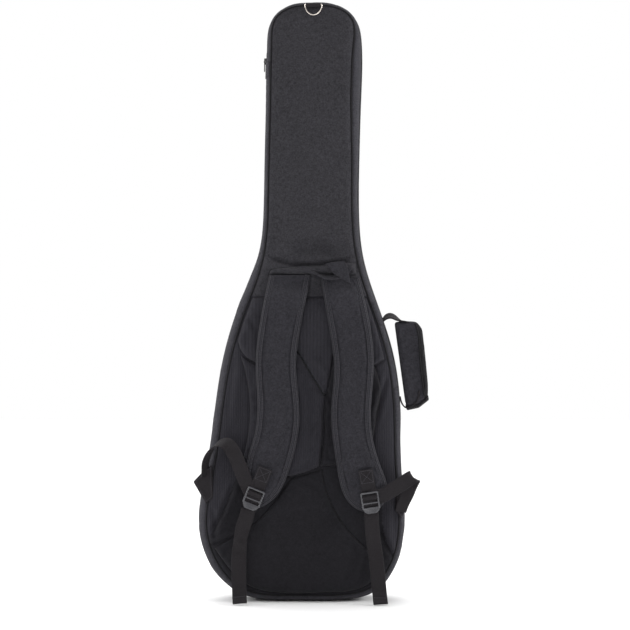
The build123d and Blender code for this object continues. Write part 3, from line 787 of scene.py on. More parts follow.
def settle(made, pinned, pressure, cap, shrink):
    """Swells a closed cloth form with Blender's Cloth, held where pinned(points in mm) is true."""
    mesh = made.data
    rest = np.empty(len(mesh.vertices) * 3)
    mesh.vertices.foreach_get("co", rest)
    rest = rest.reshape(-1, 3)
    held = made.vertex_groups.new(name="held")
    held.add([int(k) for k in np.nonzero(pinned(rest / MM))[0]], 1.0, "REPLACE")
    cloth = made.modifiers.new("cloth", "CLOTH")
    cloth.settings.quality = 5
    cloth.settings.mass = 0.3
    cloth.settings.tension_stiffness = cloth.settings.compression_stiffness = CLOTH_STIFFNESS
    cloth.settings.bending_stiffness = 0.4
    cloth.settings.shrink_min = shrink
    cloth.settings.use_pressure = True
    cloth.settings.uniform_pressure_force = pressure
    cloth.settings.vertex_group_mass = "held"
    cloth.settings.effector_weights.gravity = 0.0
    cloth.collision_settings.use_collision = False
    cloth.point_cache.frame_start, cloth.point_cache.frame_end = 1, SETTLE_FRAMES
    for number in range(1, SETTLE_FRAMES + 1):
        bpy.context.scene.frame_set(number)
    swollen = made.evaluated_get(bpy.context.evaluated_depsgraph_get()).data
    after = np.empty(len(swollen.vertices) * 3)
    swollen.vertices.foreach_get("co", after)
    made.modifiers.remove(cloth)
    made.vertex_groups.clear()
    bpy.context.scene.frame_set(1)
    move = np.nan_to_num(after.reshape(-1, 3) - rest)
    size = np.linalg.norm(move, axis=1)[:, None]
    limit = cap * MM
    move *= np.where(size > 1e-9, limit * np.tanh(size / limit) / np.maximum(size, 1e-9), 0.0)
    mesh.vertices.foreach_set("co", (rest + move).ravel())
    mesh.update()
    return made


def subdivided(made):
    """One round of subdivision, applied."""
    modifier = made.modifiers.new("fine", "SUBSURF")
    modifier.levels = modifier.render_levels = 1
    mesh = bpy.data.meshes.new_from_object(made.evaluated_get(bpy.context.evaluated_depsgraph_get()))
    made.modifiers.clear()
    made.data = mesh
    mesh.polygons.foreach_set("use_smooth", [True] * len(mesh.polygons))
    return made


def moulded_from(made, voxel, rounds):
    """Joins overlapping closed forms into one rounded skin."""
    solid = made.modifiers.new("solid", "REMESH")
    solid.mode, solid.voxel_size = "VOXEL", voxel * MM
    soft = made.modifiers.new("soft", "SMOOTH")
    soft.factor, soft.iterations = 0.5, rounds
    mesh = bpy.data.meshes.new_from_object(made.evaluated_get(bpy.context.evaluated_depsgraph_get()))
    made.modifiers.clear()
    made.data = mesh
    mesh.polygons.foreach_set("use_smooth", [True] * len(mesh.polygons))
    return made


# ------------------------------------------------------------------ pads and panels on the back


def on_back(thick, swell, ribs):
    """The front face of a pad that lies on the back and is stitched down along its edge."""
    def y(flat, depth):
        base = back_y(flat)
        rise = (thick + 1.6) * (1 - np.exp(-depth / 2.0)) - 1.6 + swell * smooth(depth / 28)
        return base - rise - ribs * np.abs(np.sin(flat[:, 0] * math.pi / 6.2)) * smooth(depth / 4)
    return y


def under(flat, depth):
    return back_y(flat) + 1.6 + 1.2 * smooth(depth / 3)


def back_pad(name, runs, node, material, slot, thick, swell, ribs=0.0, spacing=3.6, cap=1.6):
    loop = closed_by_lines(*[curve(run) if len(run) > 2 else even(np.array(run, float), 3.0)
                             for run in runs])
    PAD_LOOPS.append(loop)
    points, faces, uv, *_ = pad(loop, spacing, on_back(thick, swell, ribs), under)
    made = piece(name, "shell", points, faces, uv, [material], slot, [node], weld=0.02)
    edge = clockwise(loop)

    def pinned(p):
        flat = p[:, [0, 2]]
        return (nearest(flat, edge, closed=True)[0] < 2.4) | (p[:, 1] > back_y(flat) - 0.2)
    settle(made, pinned, pressure=3.0, cap=cap, shrink=-0.03)


PAD_LOOPS = []
V_LEFT = ((-22, 436), (0, 399), (26, 357))
V_RIGHT = ((26, 357), (34, 392), (40, 430))
MIDDLE_SEAM = ((26, 357), (22, 300), (16, 236))
LEFT_ARC = ((-126, 456), (-118, 434), (-104, 421), (-88, 414))
back_pad("back_mesh_panel", (((98, 528), (-100, 529)), ((-100, 529), (-113, 494), (-126, 456)), LEFT_ARC,
                             ((-88, 414), (-55, 420), (-22, 436)), V_LEFT, V_RIGHT,
                             ((40, 430), (74, 419), (110, 411), (129, 421)),
                             ((129, 421), (115, 476), (98, 528))),
         "back_mesh", MESH, "mesh", 1.6, 0.6, 0.35)
back_pad("lumbar_pad_left_cloth", (((-22, 434), (-55, 418), (-88, 412), (-104, 418), (-121, 430)),
                                   ((-121, 430), (-110, 386), (-105, 341), (-109, 284), (-116, 252)),
                                   ((-116, 252), (-76, 226), (-33, 219)),
                                   ((-33, 219), (-8, 226), (16, 236)), MIDDLE_SEAM[::-1], V_LEFT[::-1]),
         "lumbar_pad_left", LOBE, "mesh", 2.4, 1.8, spacing=3.8, cap=2.0)
# The right lumbar pad takes the dark lower cloth, not the lobe mesh of the left pad: painted shade for the
# right side of the back, which gets less light.
back_pad("lumbar_pad_right_cloth", (((42, 428), (74, 417), (112, 409)),
                                    ((112, 409), (122, 372), (115, 316), (104, 240)),
                                    ((104, 240), (60, 240), (18, 236)), ((18, 236), (24, 300), (28, 357)),
                                    ((28, 357), (36, 392), (42, 428))),
         "lumbar_pad_right", LOWER_CLOTH_AND_SHADE, "mesh", 2.2, 1.6, spacing=3.8, cap=2.0)
# The lower panel's dark cloth is partly a darker cloth and partly painted shade towards the bottom.
back_pad("lower_panel_cloth", (((-33, 215), (-8, 222), (21, 231)),
                               ((21, 231), (26, 200), (38, 168), (64, 127), (101, 89), (124, 66)),
                               ((124, 66), (104, 34), (78, 21), (40, 17), (-60, 17), (-104, 28),
                                (-146, 66), (-166, 94)),
                               ((-166, 94), (-136, 113), (-101, 134), (-68, 167), (-33, 215))),
         "lower_panel", LOWER_CLOTH_AND_SHADE, "lower_fabric", 1.8, 1.2, spacing=4.4, cap=1.6)
back_pad("yoke_band_cloth", (((-71, 568), (-70, 574), (-46, 580), (-18, 584), (12, 586), (44, 588),
                              (79, 589)),
                             ((79, 589), (81, 568)), ((81, 568), (-71, 568))),
         "yoke_band", SHELL, "shell_fabric", 2.6, 0.8, spacing=3.0, cap=1.2)


def panel_y(flat, depth):
    """The back panel lies lower under the pads and dips to the seams along their edges."""
    y = back_y(flat, depth)
    for loop in PAD_LOOPS:
        away = nearest(flat, loop, closed=True)[0]
        within = inside(flat, loop)
        y += np.where(within, 1.8 + 2.4 * smooth(away / 3.0), 1.8 * np.exp(-(away / 2.6) ** 2))
    return np.minimum(y, -38.6)


# The back panel is of three cloths: the shell's above the pads, mesh below, the dark one under this line,
# whose darkness is partly a darker cloth and partly painted shade towards the bottom.
PADS_TOP = 531
LOWER_EDGE = ((-200, 92), (-173, 118), (-152, 156), (-140, 186), (-129, 214), (-112, 236), (14, 236),
              (104, 240), (124, 226), (126, 130), (132, 104), (141, 86), (200, 40))
points, faces, uv, *_ = pad(PANEL, 3.8, panel_y, inner_face(-36.3))
piece("back_panel_cloth", "shell", points, faces, uv, [SHELL], "shell_fabric", ["back_panel"])
panel = bpy.data.objects["back_panel_cloth"].data
panel.materials.append(LOBE)
panel.materials.append(LOBE_LOW_CLOTH_AND_SHADE)
centres = np.empty(len(panel.polygons) * 3)
panel.polygons.foreach_get("center", centres)
x, z = centres.reshape(-1, 3)[:, 0] / MM, centres.reshape(-1, 3)[:, 2] / MM
dark_below = np.interp(x, *zip(*LOWER_EDGE))
cloth_number = np.where(z > PADS_TOP, 0, np.where(z > dark_below, 1, 2))
panel.polygons.foreach_set("material_index", cloth_number.astype(np.int32))

# ------------------------------------------------------------------ shoulder straps

STRAPS = {
    "left": {"outer": ((-70, 568), (-84, 495), (-93, 415), (-90, 340), (-97, 285), (-110, 238)),
             "tip": (-92, 166),
             "inner": ((1, 568), (-18, 474), (-25, 410), (-19, 325), (-36, 234), (-70, 176)),
             "lock": (-97, 185), "turn": 22.0},
    "right": {"inner": ((19, 562), (34, 474), (42, 410), (37, 332), (46, 242), (78, 166)),
              "tip": (108, 160),
              "outer": ((84, 562), (99, 500), (109, 410), (104, 320), (120, 240), (130, 180)),
              "lock": (103.5, 179), "turn": -9.0},
}
BIND = 9.6


def strap_shape(side):
    """The strap's stitched edge, clockwise, and its two faces."""
    s = STRAPS[side]
    first, last = ("outer", "inner") if side == "left" else ("inner", "outer")
    runs = [s[first], (s["tip"],), s[last][::-1]]
    edge = curve([p for run in runs for p in run], 3.0)[::-1]

    def face(sign):
        def y(flat, depth=None):
            away = nearest(flat, edge)[0]
            top = smooth((flat[:, 1] - 522) / 44)
            half = 3.6 + 3.2 * smooth((away - 5) / 13)
            half = half * eased(away, 3.0) * (1 - 0.62 * top)
            points = upright(flat)
            sway = 0.5 * ripple(points, 70.0, 31.0) * smooth(away / 12)
            return -63.8 + 12.6 * top + sign * half + sway
        return y
    return edge, face(-1.0), face(1.0)


def strap_pieces(side):
    body = f"{side}_strap"
    edge, front, rear = strap_shape(side)
    loop = closed_by_lines(edge)
    points, faces, uv, *_ = pad(loop, 4.4, front, rear, rings=(1.2, 2.6, 6.0))
    made = piece(f"{side}_strap_pad_cloth", body, points, faces, uv, [STRAP], "strap_fabric",
                 [f"{side}_strap_pad"], weld=0.02)
    settle(made, lambda p: (nearest(p[:, [0, 2]], edge)[0] < BIND - 1.5) | (p[:, 2] > 550), pressure=4.0,
           cap=2.2, shrink=-0.03)

    normal = np.gradient(edge, axis=0)
    normal = np.stack([normal[:, 1], -normal[:, 0]], 1) / np.linalg.norm(normal, axis=1)[:, None]
    layers = []
    for inset, face, lift in ((BIND, front, -0.2), (BIND - 0.5, front, 0.75), (6.4, front, 0.9),
                              (3.2, front, 0.95), (1.0, front, 0.9), (0.1, front, 0.5), (-0.9, None, 0.0),
                              (0.1, rear, 0.5), (1.0, rear, 0.9), (3.2, rear, 0.95), (6.4, rear, 0.9),
                              (BIND - 0.5, rear, 0.75), (BIND, rear, -0.2), (BIND - 2.0, rear, -0.9),
                              (BIND - 2.0, front, -0.9)):
        place = edge + normal * inset
        if face is None:
            y = (front(edge + normal * 0.01) + rear(edge + normal * 0.01)) / 2
        else:
            y = face(edge + normal * max(inset, 0.4)) + (lift if face is rear else -lift)
        layers.append(np.stack([place[:, 0], y, place[:, 1]], 1))
    p, f, t, w = shell_of(np.stack(layers, 1), False)
    rows = []
    for inset, face, sign in ((2.4, front, -1.0), (7.6, front, -1.0), (7.6, rear, 1.0)):
        place = edge + normal * inset
        path = np.stack([place[:, 0], face(place) + sign * 0.9, place[:, 1]], 1)
        rows.append(stitches(path, np.tile((0.0, sign, 0.0), (len(path), 1)), rise=0.4))
    points, faces, uv, numbers = joined((p, f, t, w, 0), *rows)
    piece(f"{side}_strap_binding_tape", body, points, faces, uv, [BINDING, THREAD], "binding",
          [f"{side}_strap_binding"], w, numbers)


def lock_frame(side):
    """Centre of the ladder lock and its across and up directions, in (x, y, z)."""
    cx, cz = STRAPS[side]["lock"]
    turn = math.radians(STRAPS[side]["turn"])
    centre = np.array([cx, -75.0, cz], float)
    across = np.array([math.cos(turn), 0, -math.sin(turn)])
    return centre, across, np.array([math.sin(turn), 0, math.cos(turn)])


def ladder_lock(side):
    centre, right, up = lock_frame(side)
    out = np.array([0.0, -1.0, 0.0])
    parts = []

    def bar(a, b, radius, flat=0.8, lift=0.0, bow=0.0):
        spots = []
        for t in np.linspace(0, 1, 9):
            r, u = a[0] + (b[0] - a[0]) * t, a[1] + (b[1] - a[1]) * t
            spots.append(centre + right * r + up * u + out * (lift + bow * math.sin(math.pi * t)))
        parts.append(tube(spots, radius, sides=14, step=1.5, flat=flat))

    for r in (-14.1, 14.1):
        bar((r, -14.0), (r, 14.0), 1.75, 1.0)
    bar((-14.0, 13.4), (14.0, 13.4), 1.9, 0.9, 0.0, 0.5)
    bar((-14.0, 4.3), (14.0, 4.3), 1.55, 0.9, 0.3, 0.4)
    bar((-14.0, -4.3), (14.0, -4.3), 1.55, 0.9, 0.3, 0.4)
    for k, u in enumerate((-12.6, -14.4, -16.2, -18.0, -19.6, -21.0)):
        half = 14.2 * math.sqrt(max(0.0, 1 - ((u + 12.6) / 10.4) ** 2))
        bar((-half, u), (half, u), 1.35, 1.0, 0.1 + 0.22 * k, 0.2 + 0.35 * math.sqrt(k))
    points, faces, uv, _ = joined(*[(p, f, t, w, 0) for p, f, t, w, _ in parts])
    made = piece(f"{side}_ladder_lock_moulded", f"{side}_lock", points, faces, uv, [BUCKLE], "buckle",
                 [f"{side}_ladder_lock"])
    moulded_from(made, 0.4, 4)
    made.data.materials.clear()
    made.data.materials.append(BUCKLE)


WEB_WIDE, WEB_THICK = 25.0, 2.0


def local_path(side, spots):
    centre, right, up = lock_frame(side)
    return [centre + right * r + up * u + np.array([0.0, -lift, 0.0]) for r, u, lift in spots]


def anchor(side):
    """Webbing sewn on the strap's end with a crossed box, behind the lock's top bar and over the next."""
    _, right, _ = lock_frame(side)
    spots = local_path(side, ((0, 54, 1.0), (0, 40, 0.2), (0, 26, -0.6), (0, 18, -2.2), (0, 13.0, -3.2),
                              (0, 9.0, -1.4), (0, 7.0, 1.6), (0, 4.3, 2.7), (0, 2.0, 1.4), (0, 2.6, -1.6)))
    body_part = strip([(*s, *right) for s in spots], WEB_WIDE, WEB_THICK, 1.5)
    rows = []
    low, high, half = 31.0, 52.0, 10.4
    for a, b in (((-half, low), (half, low)), ((half, low), (half, high)), ((half, high), (-half, high)),
                 ((-half, high), (-half, low)), ((-half, low), (half, high)),
                 ((half, low), (-half, high))):
        ends = local_path(side, [(a[0] + (b[0] - a[0]) * t, a[1] + (b[1] - a[1]) * t,
                                  1.3 + 0.8 * ((a[1] + (b[1] - a[1]) * t) - 40) / 14 * 1.0)
                                 for t in (0, 0.5, 1)])
        path = np.array(ends)
        rows.append(stitches(path, np.tile((0.0, -1.0, 0.0), (3, 1)), pitch=3.0, length=2.3, rise=0.5))
    points, faces, uv, numbers = joined((*body_part[:4], 0), *rows)
    piece(f"{side}_strap_anchor_web", f"{side}_strap", points, faces, uv, [WEBBING, THREAD], "webbing",
          [f"{side}_strap_anchor"], body_part[3], numbers)


# The webbing's routes: centre, then the direction across its width.
ADJUSTERS = {
    "left": ((-104.5, -72.4, 166.5, 0.94, 0, -0.34), (-100.5, -72.8, 174, 0.93, 0, -0.37),
             (-97.5, -74.6, 182, 0.93, 0, -0.37), (-102, -73.2, 193, 0.95, 0, -0.2),
             (-110, -73.8, 210, 0.96, 0, 0.22), (-122, -74.5, 240, 0.91, 0, 0.40),
             (-134, -74.8, 266, 0.89, 0.02, 0.45), (-146, -73.0, 278, 0.66, 0.50, 0.55),
             (-159, -68.0, 277, 0.44, 0.78, 0.46), (-170, -63.0, 267, 0.50, 0.74, 0.40),
             (-177, -58.0, 255, 0.52, 0.72, 0.34), (-181, -53.0, 243, 0.46, 0.74, 0.22),
             (-182, -48.6, 231, 0.42, 0.70, 0.0), (-182, -45.6, 219, 0.50, 0.50, -0.20)),
    "right": ((105.2, -72.4, 161.5, 0.98, 0, 0.15), (104.4, -72.8, 169, 0.98, 0, 0.16),
              (103.8, -74.6, 176, 0.98, 0, 0.16), (107, -73.4, 185, 0.80, 0, -0.5),
              (120, -73.8, 187, 0.35, 0, -0.93), (136, -74.2, 194, 0.5, 0, -0.86),
              (152, -74.6, 204, 0.58, 0, -0.81), (166, -74.8, 213.5, 0.62, 0, -0.78),
              (177, -73.6, 219, 0.72, 0.1, -0.68), (178, -71.0, 218, 0.76, 0.1, -0.64),
              (174, -66.5, 207, 0.80, 0, -0.56), (168, -60, 190, 0.84, 0.1, -0.42),
              (161, -53, 172, 0.78, 0.2, -0.34), (157, -46.2, 157, 0.70, 0.2, -0.3)),
}
TAILS = {
    "left": ((-106, -73.3, 164.3, 0.95, 0, -0.30), (-108, -73.6, 156, 0.96, 0, -0.26),
             (-116, -75.4, 131, 0.98, 0.06, -0.16), (-119, -76.6, 117, 0.92, 0.38, -0.05),
             (-120.5, -75.0, 107, 0.94, -0.30, 0.02), (-122, -74.6, 90, 1, 0, 0),
             (-122.5, -75.4, 50, 1, 0.05, 0), (-121.5, -78.5, 18, 0.99, 0, 0.12),
             (-120.5, -85.5, 3.6, 0.97, 0, 0.16)),
    "right": ((105.2, -73.3, 159.6, 0.985, 0, 0.12), (105.5, -73.6, 152, 0.99, 0, 0.08),
              (107.5, -75.4, 122, 1, 0.08, 0), (112.5, -74.8, 86, 1, -0.08, -0.06),
              (117, -75.4, 46, 1, 0, -0.06), (120, -79.5, 14, 1, 0, -0.03),
              (121, -87.0, 2.6, 1, 0, -0.02)),
}


def hem(frames):
    """The tail's end turned over and stitched."""
    line = curve(np.array(frames, float), 1.0)
    end = line[-14:]
    lifted = end.copy()
    lifted[:, 1] -= 1.9
    cover = strip(lifted[::4], WEB_WIDE + 0.2, 1.9, 1.5)
    centre, side = lifted[1, :3], lifted[1, 3:]
    path = np.array([centre - side * 11.5, centre, centre + side * 11.5]) + np.array([0, -1.0, 0.4])
    return cover, stitches(path, np.tile((0.0, -1.0, 0.3), (3, 1)), pitch=3.0, length=2.2, rise=0.4)


def blended(name, a, start, end, data, materials, slot, node):
    points, faces, uv, numbers = data[:4]
    made = piece(name, a, points, faces, uv, materials, slot, [node], data[4], numbers, ride=False)
    Vector(start) * MM
    Vector(end) * MM
    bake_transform(made)
    return made


def webbing_pieces(side):
    p, f, t, w, _ = strip(ADJUSTERS[side], WEB_WIDE, WEB_THICK, 2.5)
    wing_end, clear = ADJUSTERS[side][-1][:3], ADJUSTERS[side][-4][:3]
    blended(f"{side}_adjuster_web", "shell", wing_end, clear, (p, f, t, [0] * len(f), w),
            [WEBBING], "webbing", f"{side}_adjuster")
    main = strip(TAILS[side], WEB_WIDE, WEB_THICK, 2.5)
    cover, row = hem(TAILS[side])
    points, faces, uv, numbers = joined((*main[:4], 0), (*cover[:4], 0), row)
    points[:, 2] = np.maximum(points[:, 2], 0.4)
    piece(f"{side}_tail_web", f"{side}_tail", points, faces, uv, [WEBBING, THREAD], "webbing",
          [f"{side}_tail"], main[3], numbers)


for side in STRAPS:
    strap_pieces(side)
    ladder_lock(side)
    anchor(side)
    webbing_pieces(side)

# ------------------------------------------------------------------ wings, handles, loops, ring


def tab(name, body, loop, y_at, thick, material, slot, node):
    """A flat sewn tab: loop in (x, z), front face at y_at(x, z)."""
    loop = polygon(loop)
    loop = (loop + np.roll(loop, 1, 0) + np.roll(loop, -1, 0)) / 3

    def front(flat, depth):
        return y_at(flat) - thick / 2 * eased(depth, 1.2)

    def rear(flat, depth):
        return y_at(flat) + thick / 2 * eased(depth, 1.2)
    cloth = pad(loop, 3.0, front, rear, rings=(0.6, 1.3, 2.4))
    turn = clockwise(loop)
    row = turn + inward(turn) * 3.0
    path = np.stack([row[:, 0], y_at(row) - thick / 2, row[:, 1]], 1)
    seam = stitches(path, np.tile((0.0, -1.0, 0.0), (len(path), 1)), pitch=3.4, length=2.5, rise=0.35,
                    closed=True)
    points, faces, uv, numbers = joined((*cloth[:4], 0), seam)
    piece(name, body, points, faces, uv, [material, THREAD], slot, [node], weld=0.01, numbers=numbers)


tab("left_wing_web", "shell", ((-170, 238), (-182, 231), (-203, 209), (-192, 190), (-181, 171),
                               (-168, 182)),
    lambda f: -44.6 + 0.16 * np.abs(f[:, 0] + 170) * 0.5, 3.0, WEBBING, "webbing", "left_wing")
tab("right_wing_web", "shell", ((150, 214), (164, 206), (176, 192), (170, 172), (158, 144), (148, 160)),
    lambda f: -44.4 + 0.05 * np.abs(f[:, 0] - 150), 3.0, WEBBING, "webbing", "right_wing")


def rounded(points, rounds=6, step=2.0):
    """A closed outline through corner points, its corners eased."""
    loop = polygon(points, step)
    for _ in range(rounds):
        loop = (loop * 2 + np.roll(loop, 1, 0) + np.roll(loop, -1, 0)) / 4
    return loop


# A dark colour for the side handle grip's far side: painted shade, not a cloth of its own.
GRIP_SIDE_SHADE = woven("grip_side_painted_shade", (33, 31, 35), pitch=0.0009)


def side_handle():
    loop = rounded(((147, 486), (162, 488), (186, 487), (196, 474), (201, 430), (206, 378), (206, 356),
                    (190, 342), (170, 336), (166, 346), (157, 412)), 7)

    def wall(centre, half):
        def y(flat, depth):
            return centre + half * eased(depth, 7.5, 2.2)
        return y
    points, faces, uv, *_ = pad(loop, 3.4, wall(-17.5, -8.0), wall(-17.5, 8.0),
                                         rings=(0.5, 1.4, 3.0, 5.2))
    made = piece("side_handle_grip_cloth", "side_handle", points, faces, uv, [GRIP, PIPING], "grip_fabric",
                 ["side_handle_grip"], weld=0.02)
    edge = clockwise(loop)
    settle(made, lambda p: nearest(p[:, [0, 2]], edge, closed=True)[0] < 1.0, pressure=5.0, cap=2.6,
           shrink=-0.04)
    seam_line = curve(((183, 484), (188, 466), (191, 430), (196, 380), (199, 358)), 2.0)
    shape = made.data
    shape.materials.append(GRIP_SIDE_SHADE)
    centres = np.empty(len(shape.polygons) * 3)
    shape.polygons.foreach_get("center", centres)
    centres = centres.reshape(-1, 3) / MM
    # Faces beyond the seam line take the dark piping cloth: painted shade on the grip's side turned from
    # the light.
    painted_shade_side = centres[:, 0] > np.interp(-centres[:, 2], -seam_line[:, 1], seam_line[:, 0])
    shape.polygons.foreach_set("material_index", painted_shade_side.astype(np.int32))
    face_y = wall(-17.5, -8.0)(seam_line, nearest(seam_line, edge, closed=True)[0])
    path = np.stack([seam_line[:, 0], face_y - 0.6, seam_line[:, 1]], 1)
    bound = tube(path, 1.4, sides=10, step=2.0)
    foot = rounded(((166, 343), (187, 344.5), (206, 360), (208, 350), (190, 336), (169, 331.5)), 3, 1.5)
    foot_pad = pad(foot, 2.5, wall(-17.5, -10.5), wall(-17.5, 10.5), rings=(0.6, 1.6))
    upper = strip(((127, -19, 489, 0, 0.92, 0.25), (133, -20, 495, 0, 0.86, 0.4),
                   (141, -20, 497, 0, 0.9, 0.42), (150, -18, 493, 0.1, 0.9, 0.3), (160, -17, 488, 0, 1, 0),
                   (172, -17, 486, 0, 1, 0)),
                  20.0, 2.4, 1.5)
    lower = strip(((157, -17, 356, 0, 1, 0), (160, -17, 345, 0, 1, 0), (167, -17, 337, 0, 1, 0),
                   (178, -17, 340, 0, 1, 0), (188, -17, 352, 0, 1, 0), (190, -17, 366, 0, 1, 0)), 20.0,
                  2.2, 1.5)
    points, faces, uv, numbers = joined((*bound[:4], 1), (*foot_pad[:4], 1), (*upper[:4], 0),
                                        (*lower[:4], 0))
    piece("side_handle_webbing_web", "side_handle", points, faces, uv, [WEBBING, PIPING], "webbing",
          ["side_handle_webbing"], upper[3], numbers)


side_handle()


def over_gusset(index, shares):
    """Rings of a cloth over the back gusset: (share of the seam's inset, share of its depth, outset)."""
    return rings_at(index, [(SEAM * s + out, BACK_Y + GUSSET_REACH * t) for s, t, out in shares])


def patches():
    """Reinforcement sewn over the gusset at each end of the side handle."""
    parts = []
    for low_z, high_z in ((482, 524), (314, 374)):
        index = run_of((RIM[:, 0] > 0) & (RIM[:, 1] > low_z) & (RIM[:, 1] < high_z))
        shares = ((1.0, 0.02, -0.3), (0.9, -0.03, -1.0), (0.7, -0.04, -1.3), (0.48, 0.0, -1.4),
                  (0.27, 0.09, -1.4), (0.11, 0.22, -1.5), (0.02, 0.40, -1.5), (0.0, 0.62, -1.5),
                  (0.0, 0.84, -1.4), (0.03, 0.93, -0.4), (0.1, 0.93, 1.0), (0.1, 0.62, 1.0),
                  (0.3, 0.3, 1.0), (0.6, 0.12, 1.0), (0.95, 0.06, 0.6))
        rings = over_gusset(index, shares)
        p, f, t, w = shell_of(rings, False)
        parts.append((p, f, t, w, 0))
        outward = -RIM_IN[index]
        for k in (2, len(index) - 3):
            path = rings[k, 1:9]
            out = np.stack([np.full(8, outward[k, 0]), np.linspace(-2.0, 0.0, 8),
                            np.full(8, outward[k, 1])], 1)
            parts.append(stitches(path, out, pitch=3.4, length=2.5, rise=0.4))
    points, faces, uv, numbers = joined(*parts)
    piece("side_handle_patch_web", "shell", points, faces, uv, [GUSSET, THREAD], "gusset_fabric",
          ["side_handle_patches"], numbers=numbers)


patches()


def grab_handle():
    loop = strip(((-26, -49.5, 577, 0.0, 0.20, 0.55), (-12, -54, 578, 0.05, 0.45, 0.50),
                  (4, -57.5, 574, 0.0, 0.80, 0.30), (20, -59.5, 566, 0.0, 0.85, 0.34),
                  (36, -60.0, 563, 0.0, 0.80, 0.42), (50, -58.0, 567, -0.2, 0.7, 0.6),
                  (60, -54.5, 574, -0.3, 0.5, 0.7), (66, -50.0, 582, -0.3, 0.3, 0.7)), 18.0, 2.0, 2.0)
    corners = ((26, 587), (42, 590.5), (59, 592), (64, 583), (67, 568), (69.5, 553), (54, 561), (40, 570))
    flap = polygon(corners)

    def lie(flat):
        return -58.5 - 0.20 * (590 - flat[:, 1]) - 0.03 * (flat[:, 0] - 26)
    flap_form = pad(flap, 2.6, lambda f, d: lie(f) - eased(d, 1.0),
                    lambda f, d: lie(f) + eased(d, 1.0), rings=(0.5, 1.2))
    points, faces, uv, numbers = joined((*loop[:4], 0), (*flap_form[:4], 0))
    piece("grab_handle_web", "grab_handle", points, faces, uv, [STRAP], "webbing", ["grab_handle"],
          loop[3], numbers, weld=0.01)


grab_handle()


def hanger():
    loop = strip(((5.6, -41, 1037.6, 1, 0, 0), (5.6, -47, 1038.4, 1, 0, 0), (5.6, -52.0, 1038.4, 1, 0, 0),
                  (5.6, -54.4, 1036.0, 1, 0, 0), (5.6, -52.0, 1033.6, 1, 0, 0),
                  (5.6, -48, 1032.8, 1, 0, 0), (5.6, -43, 1033.4, 1, 0, 0)), 26.0, 1.8, 1.0)
    piece("hang_loop_web", "shell", *loop[:3], [WEBBING], "webbing", ["hang_loop"], loop[3])
    bar = [(5.6 + x, -52, 1036) for x in np.linspace(-14.5, 14.5, 24)]
    turn = np.linspace(0, -math.pi, 48)[1:-1]
    bow = [(5.6 + 14.5 * math.cos(a), -52, 1036 + 17.5 * math.sin(a)) for a in turn]
    ring = tube(np.array(bar + bow), 1.25, loop=True, sides=14)
    piece("hang_ring_wire", "hang_ring", *ring[:3], [RING], "ring_metal", ["hang_ring"], ring[3])


hanger()


# ------------------------------------------------------------------ sliders and pullers


def slider(name, body, node, centre, long_, wide, high, materials, slot, size=(12.0, 7.4, 3.2)):
    """A zip slider: a waisted body with a bridge over it. Directions are along, across and out."""
    centre, long_, wide, high = (np.array(v, float) for v in (centre, long_, wide, high))
    rings = []
    for t, w, h in ((-0.5, 0.30, 0.5), (-0.47, 0.40, 0.8), (-0.2, 0.44, 1.0), (0.15, 0.50, 1.0),
                    (0.42, 0.50, 0.9), (0.5, 0.42, 0.5)):
        ring = []
        for a in np.linspace(0, 2 * math.pi, 16, endpoint=False):
            c, s = math.cos(a), math.sin(a)
            x = math.copysign(abs(c) ** 0.5, c) * size[1] * w
            y = math.copysign(abs(s) ** 0.5, s) * size[2] * h / 2
            ring.append(centre + long_ * size[0] * t + wide * x + high * y)
        rings.append(ring)
    p, f, t, w = shell_of(np.array(rings), False)
    arch = [centre + long_ * size[0] * s + high * (size[2] / 2 + 2.0 *
                                                   math.sin(math.pi * (s + 0.36) / 0.72) - 0.3)
            for s in np.linspace(-0.36, 0.36, 7)]
    bridge = tube(arch, 0.8, sides=8, step=1.0)
    points, faces, uv, _ = joined((p, f, t, w, 0), bridge)
    piece(name, body, points, faces, uv, materials, slot, [node])


def puller(name, body, node, eye, down, wide, high, length, materials, slot):
    """A stamped pull: an eye at the bridge and a tapered tab with a raised rim."""
    eye, down, wide, high = (np.array(v, float) for v in (eye, down, wide, high))
    width = 6.0
    ring = [eye + down * (2.6 - 2.6 * math.cos(a)) + wide * 2.2 * math.sin(a)
            for a in np.linspace(0, 2 * math.pi, 20, endpoint=False)]
    parts = [tube(np.array(ring), 0.7, loop=True, sides=8)]
    rings = []
    for t, w, h in ((4.4, 0.55, 0.5), (5.0, 0.8, 0.8), (7.0, 0.9, 0.8), (length * 0.6, 1.0, 0.8),
                    (length - 2.0, 1.0, 0.8), (length - 0.4, 0.8, 0.7), (length, 0.5, 0.4)):
        rings.append([eye + down * t + wide * (width / 2 * w * c) + high * (h * s)
                      for c, s in ((-1, 0), (-0.9, 1), (-0.7, 1), (-0.6, 0.6), (0.6, 0.6), (0.7, 1),
                                   (0.9, 1), (1, 0), (0.9, -1), (-0.9, -1))])
    p, f, t, w = shell_of(np.array(rings), False)
    points, faces, uv, _ = joined(parts[0], (p, f, t, w, 0))
    piece(name, body, points, faces, uv, materials, slot, [node])


slider("zip_slider_body", "zip_slider", "zip_slider", (-78.0, 4.0, 944), (0, 0, 1), (0, 1, 0), (-1, 0, 0),
       [ZIP_METAL],
       "zip_metal", (12.0, 7.4, 2.6))
puller("zip_puller_tab", "zip_puller", "zip_puller", (-80.3, 4.0, 949.6), (0, 0, -1), (0, 1, 0),
       (-1, 0, 0), 23.5,
       [PULLER], "puller")
slider("pocket_slider_body", "pocket_slider", "pocket_slider", (-95.0, 66.0, 422.0), (-1, 0, 0), (0, 1, 0),
       (0, 0, 1),
       [ZIP_METAL], "zip_metal")
puller("pocket_puller_tab", "pocket_puller", "pocket_puller", (-100.4, 66.0, 425.4), (1, 0, 0), (0, 1, 0),
       (0, 0, 1),
       25.0, [PULLER], "puller")


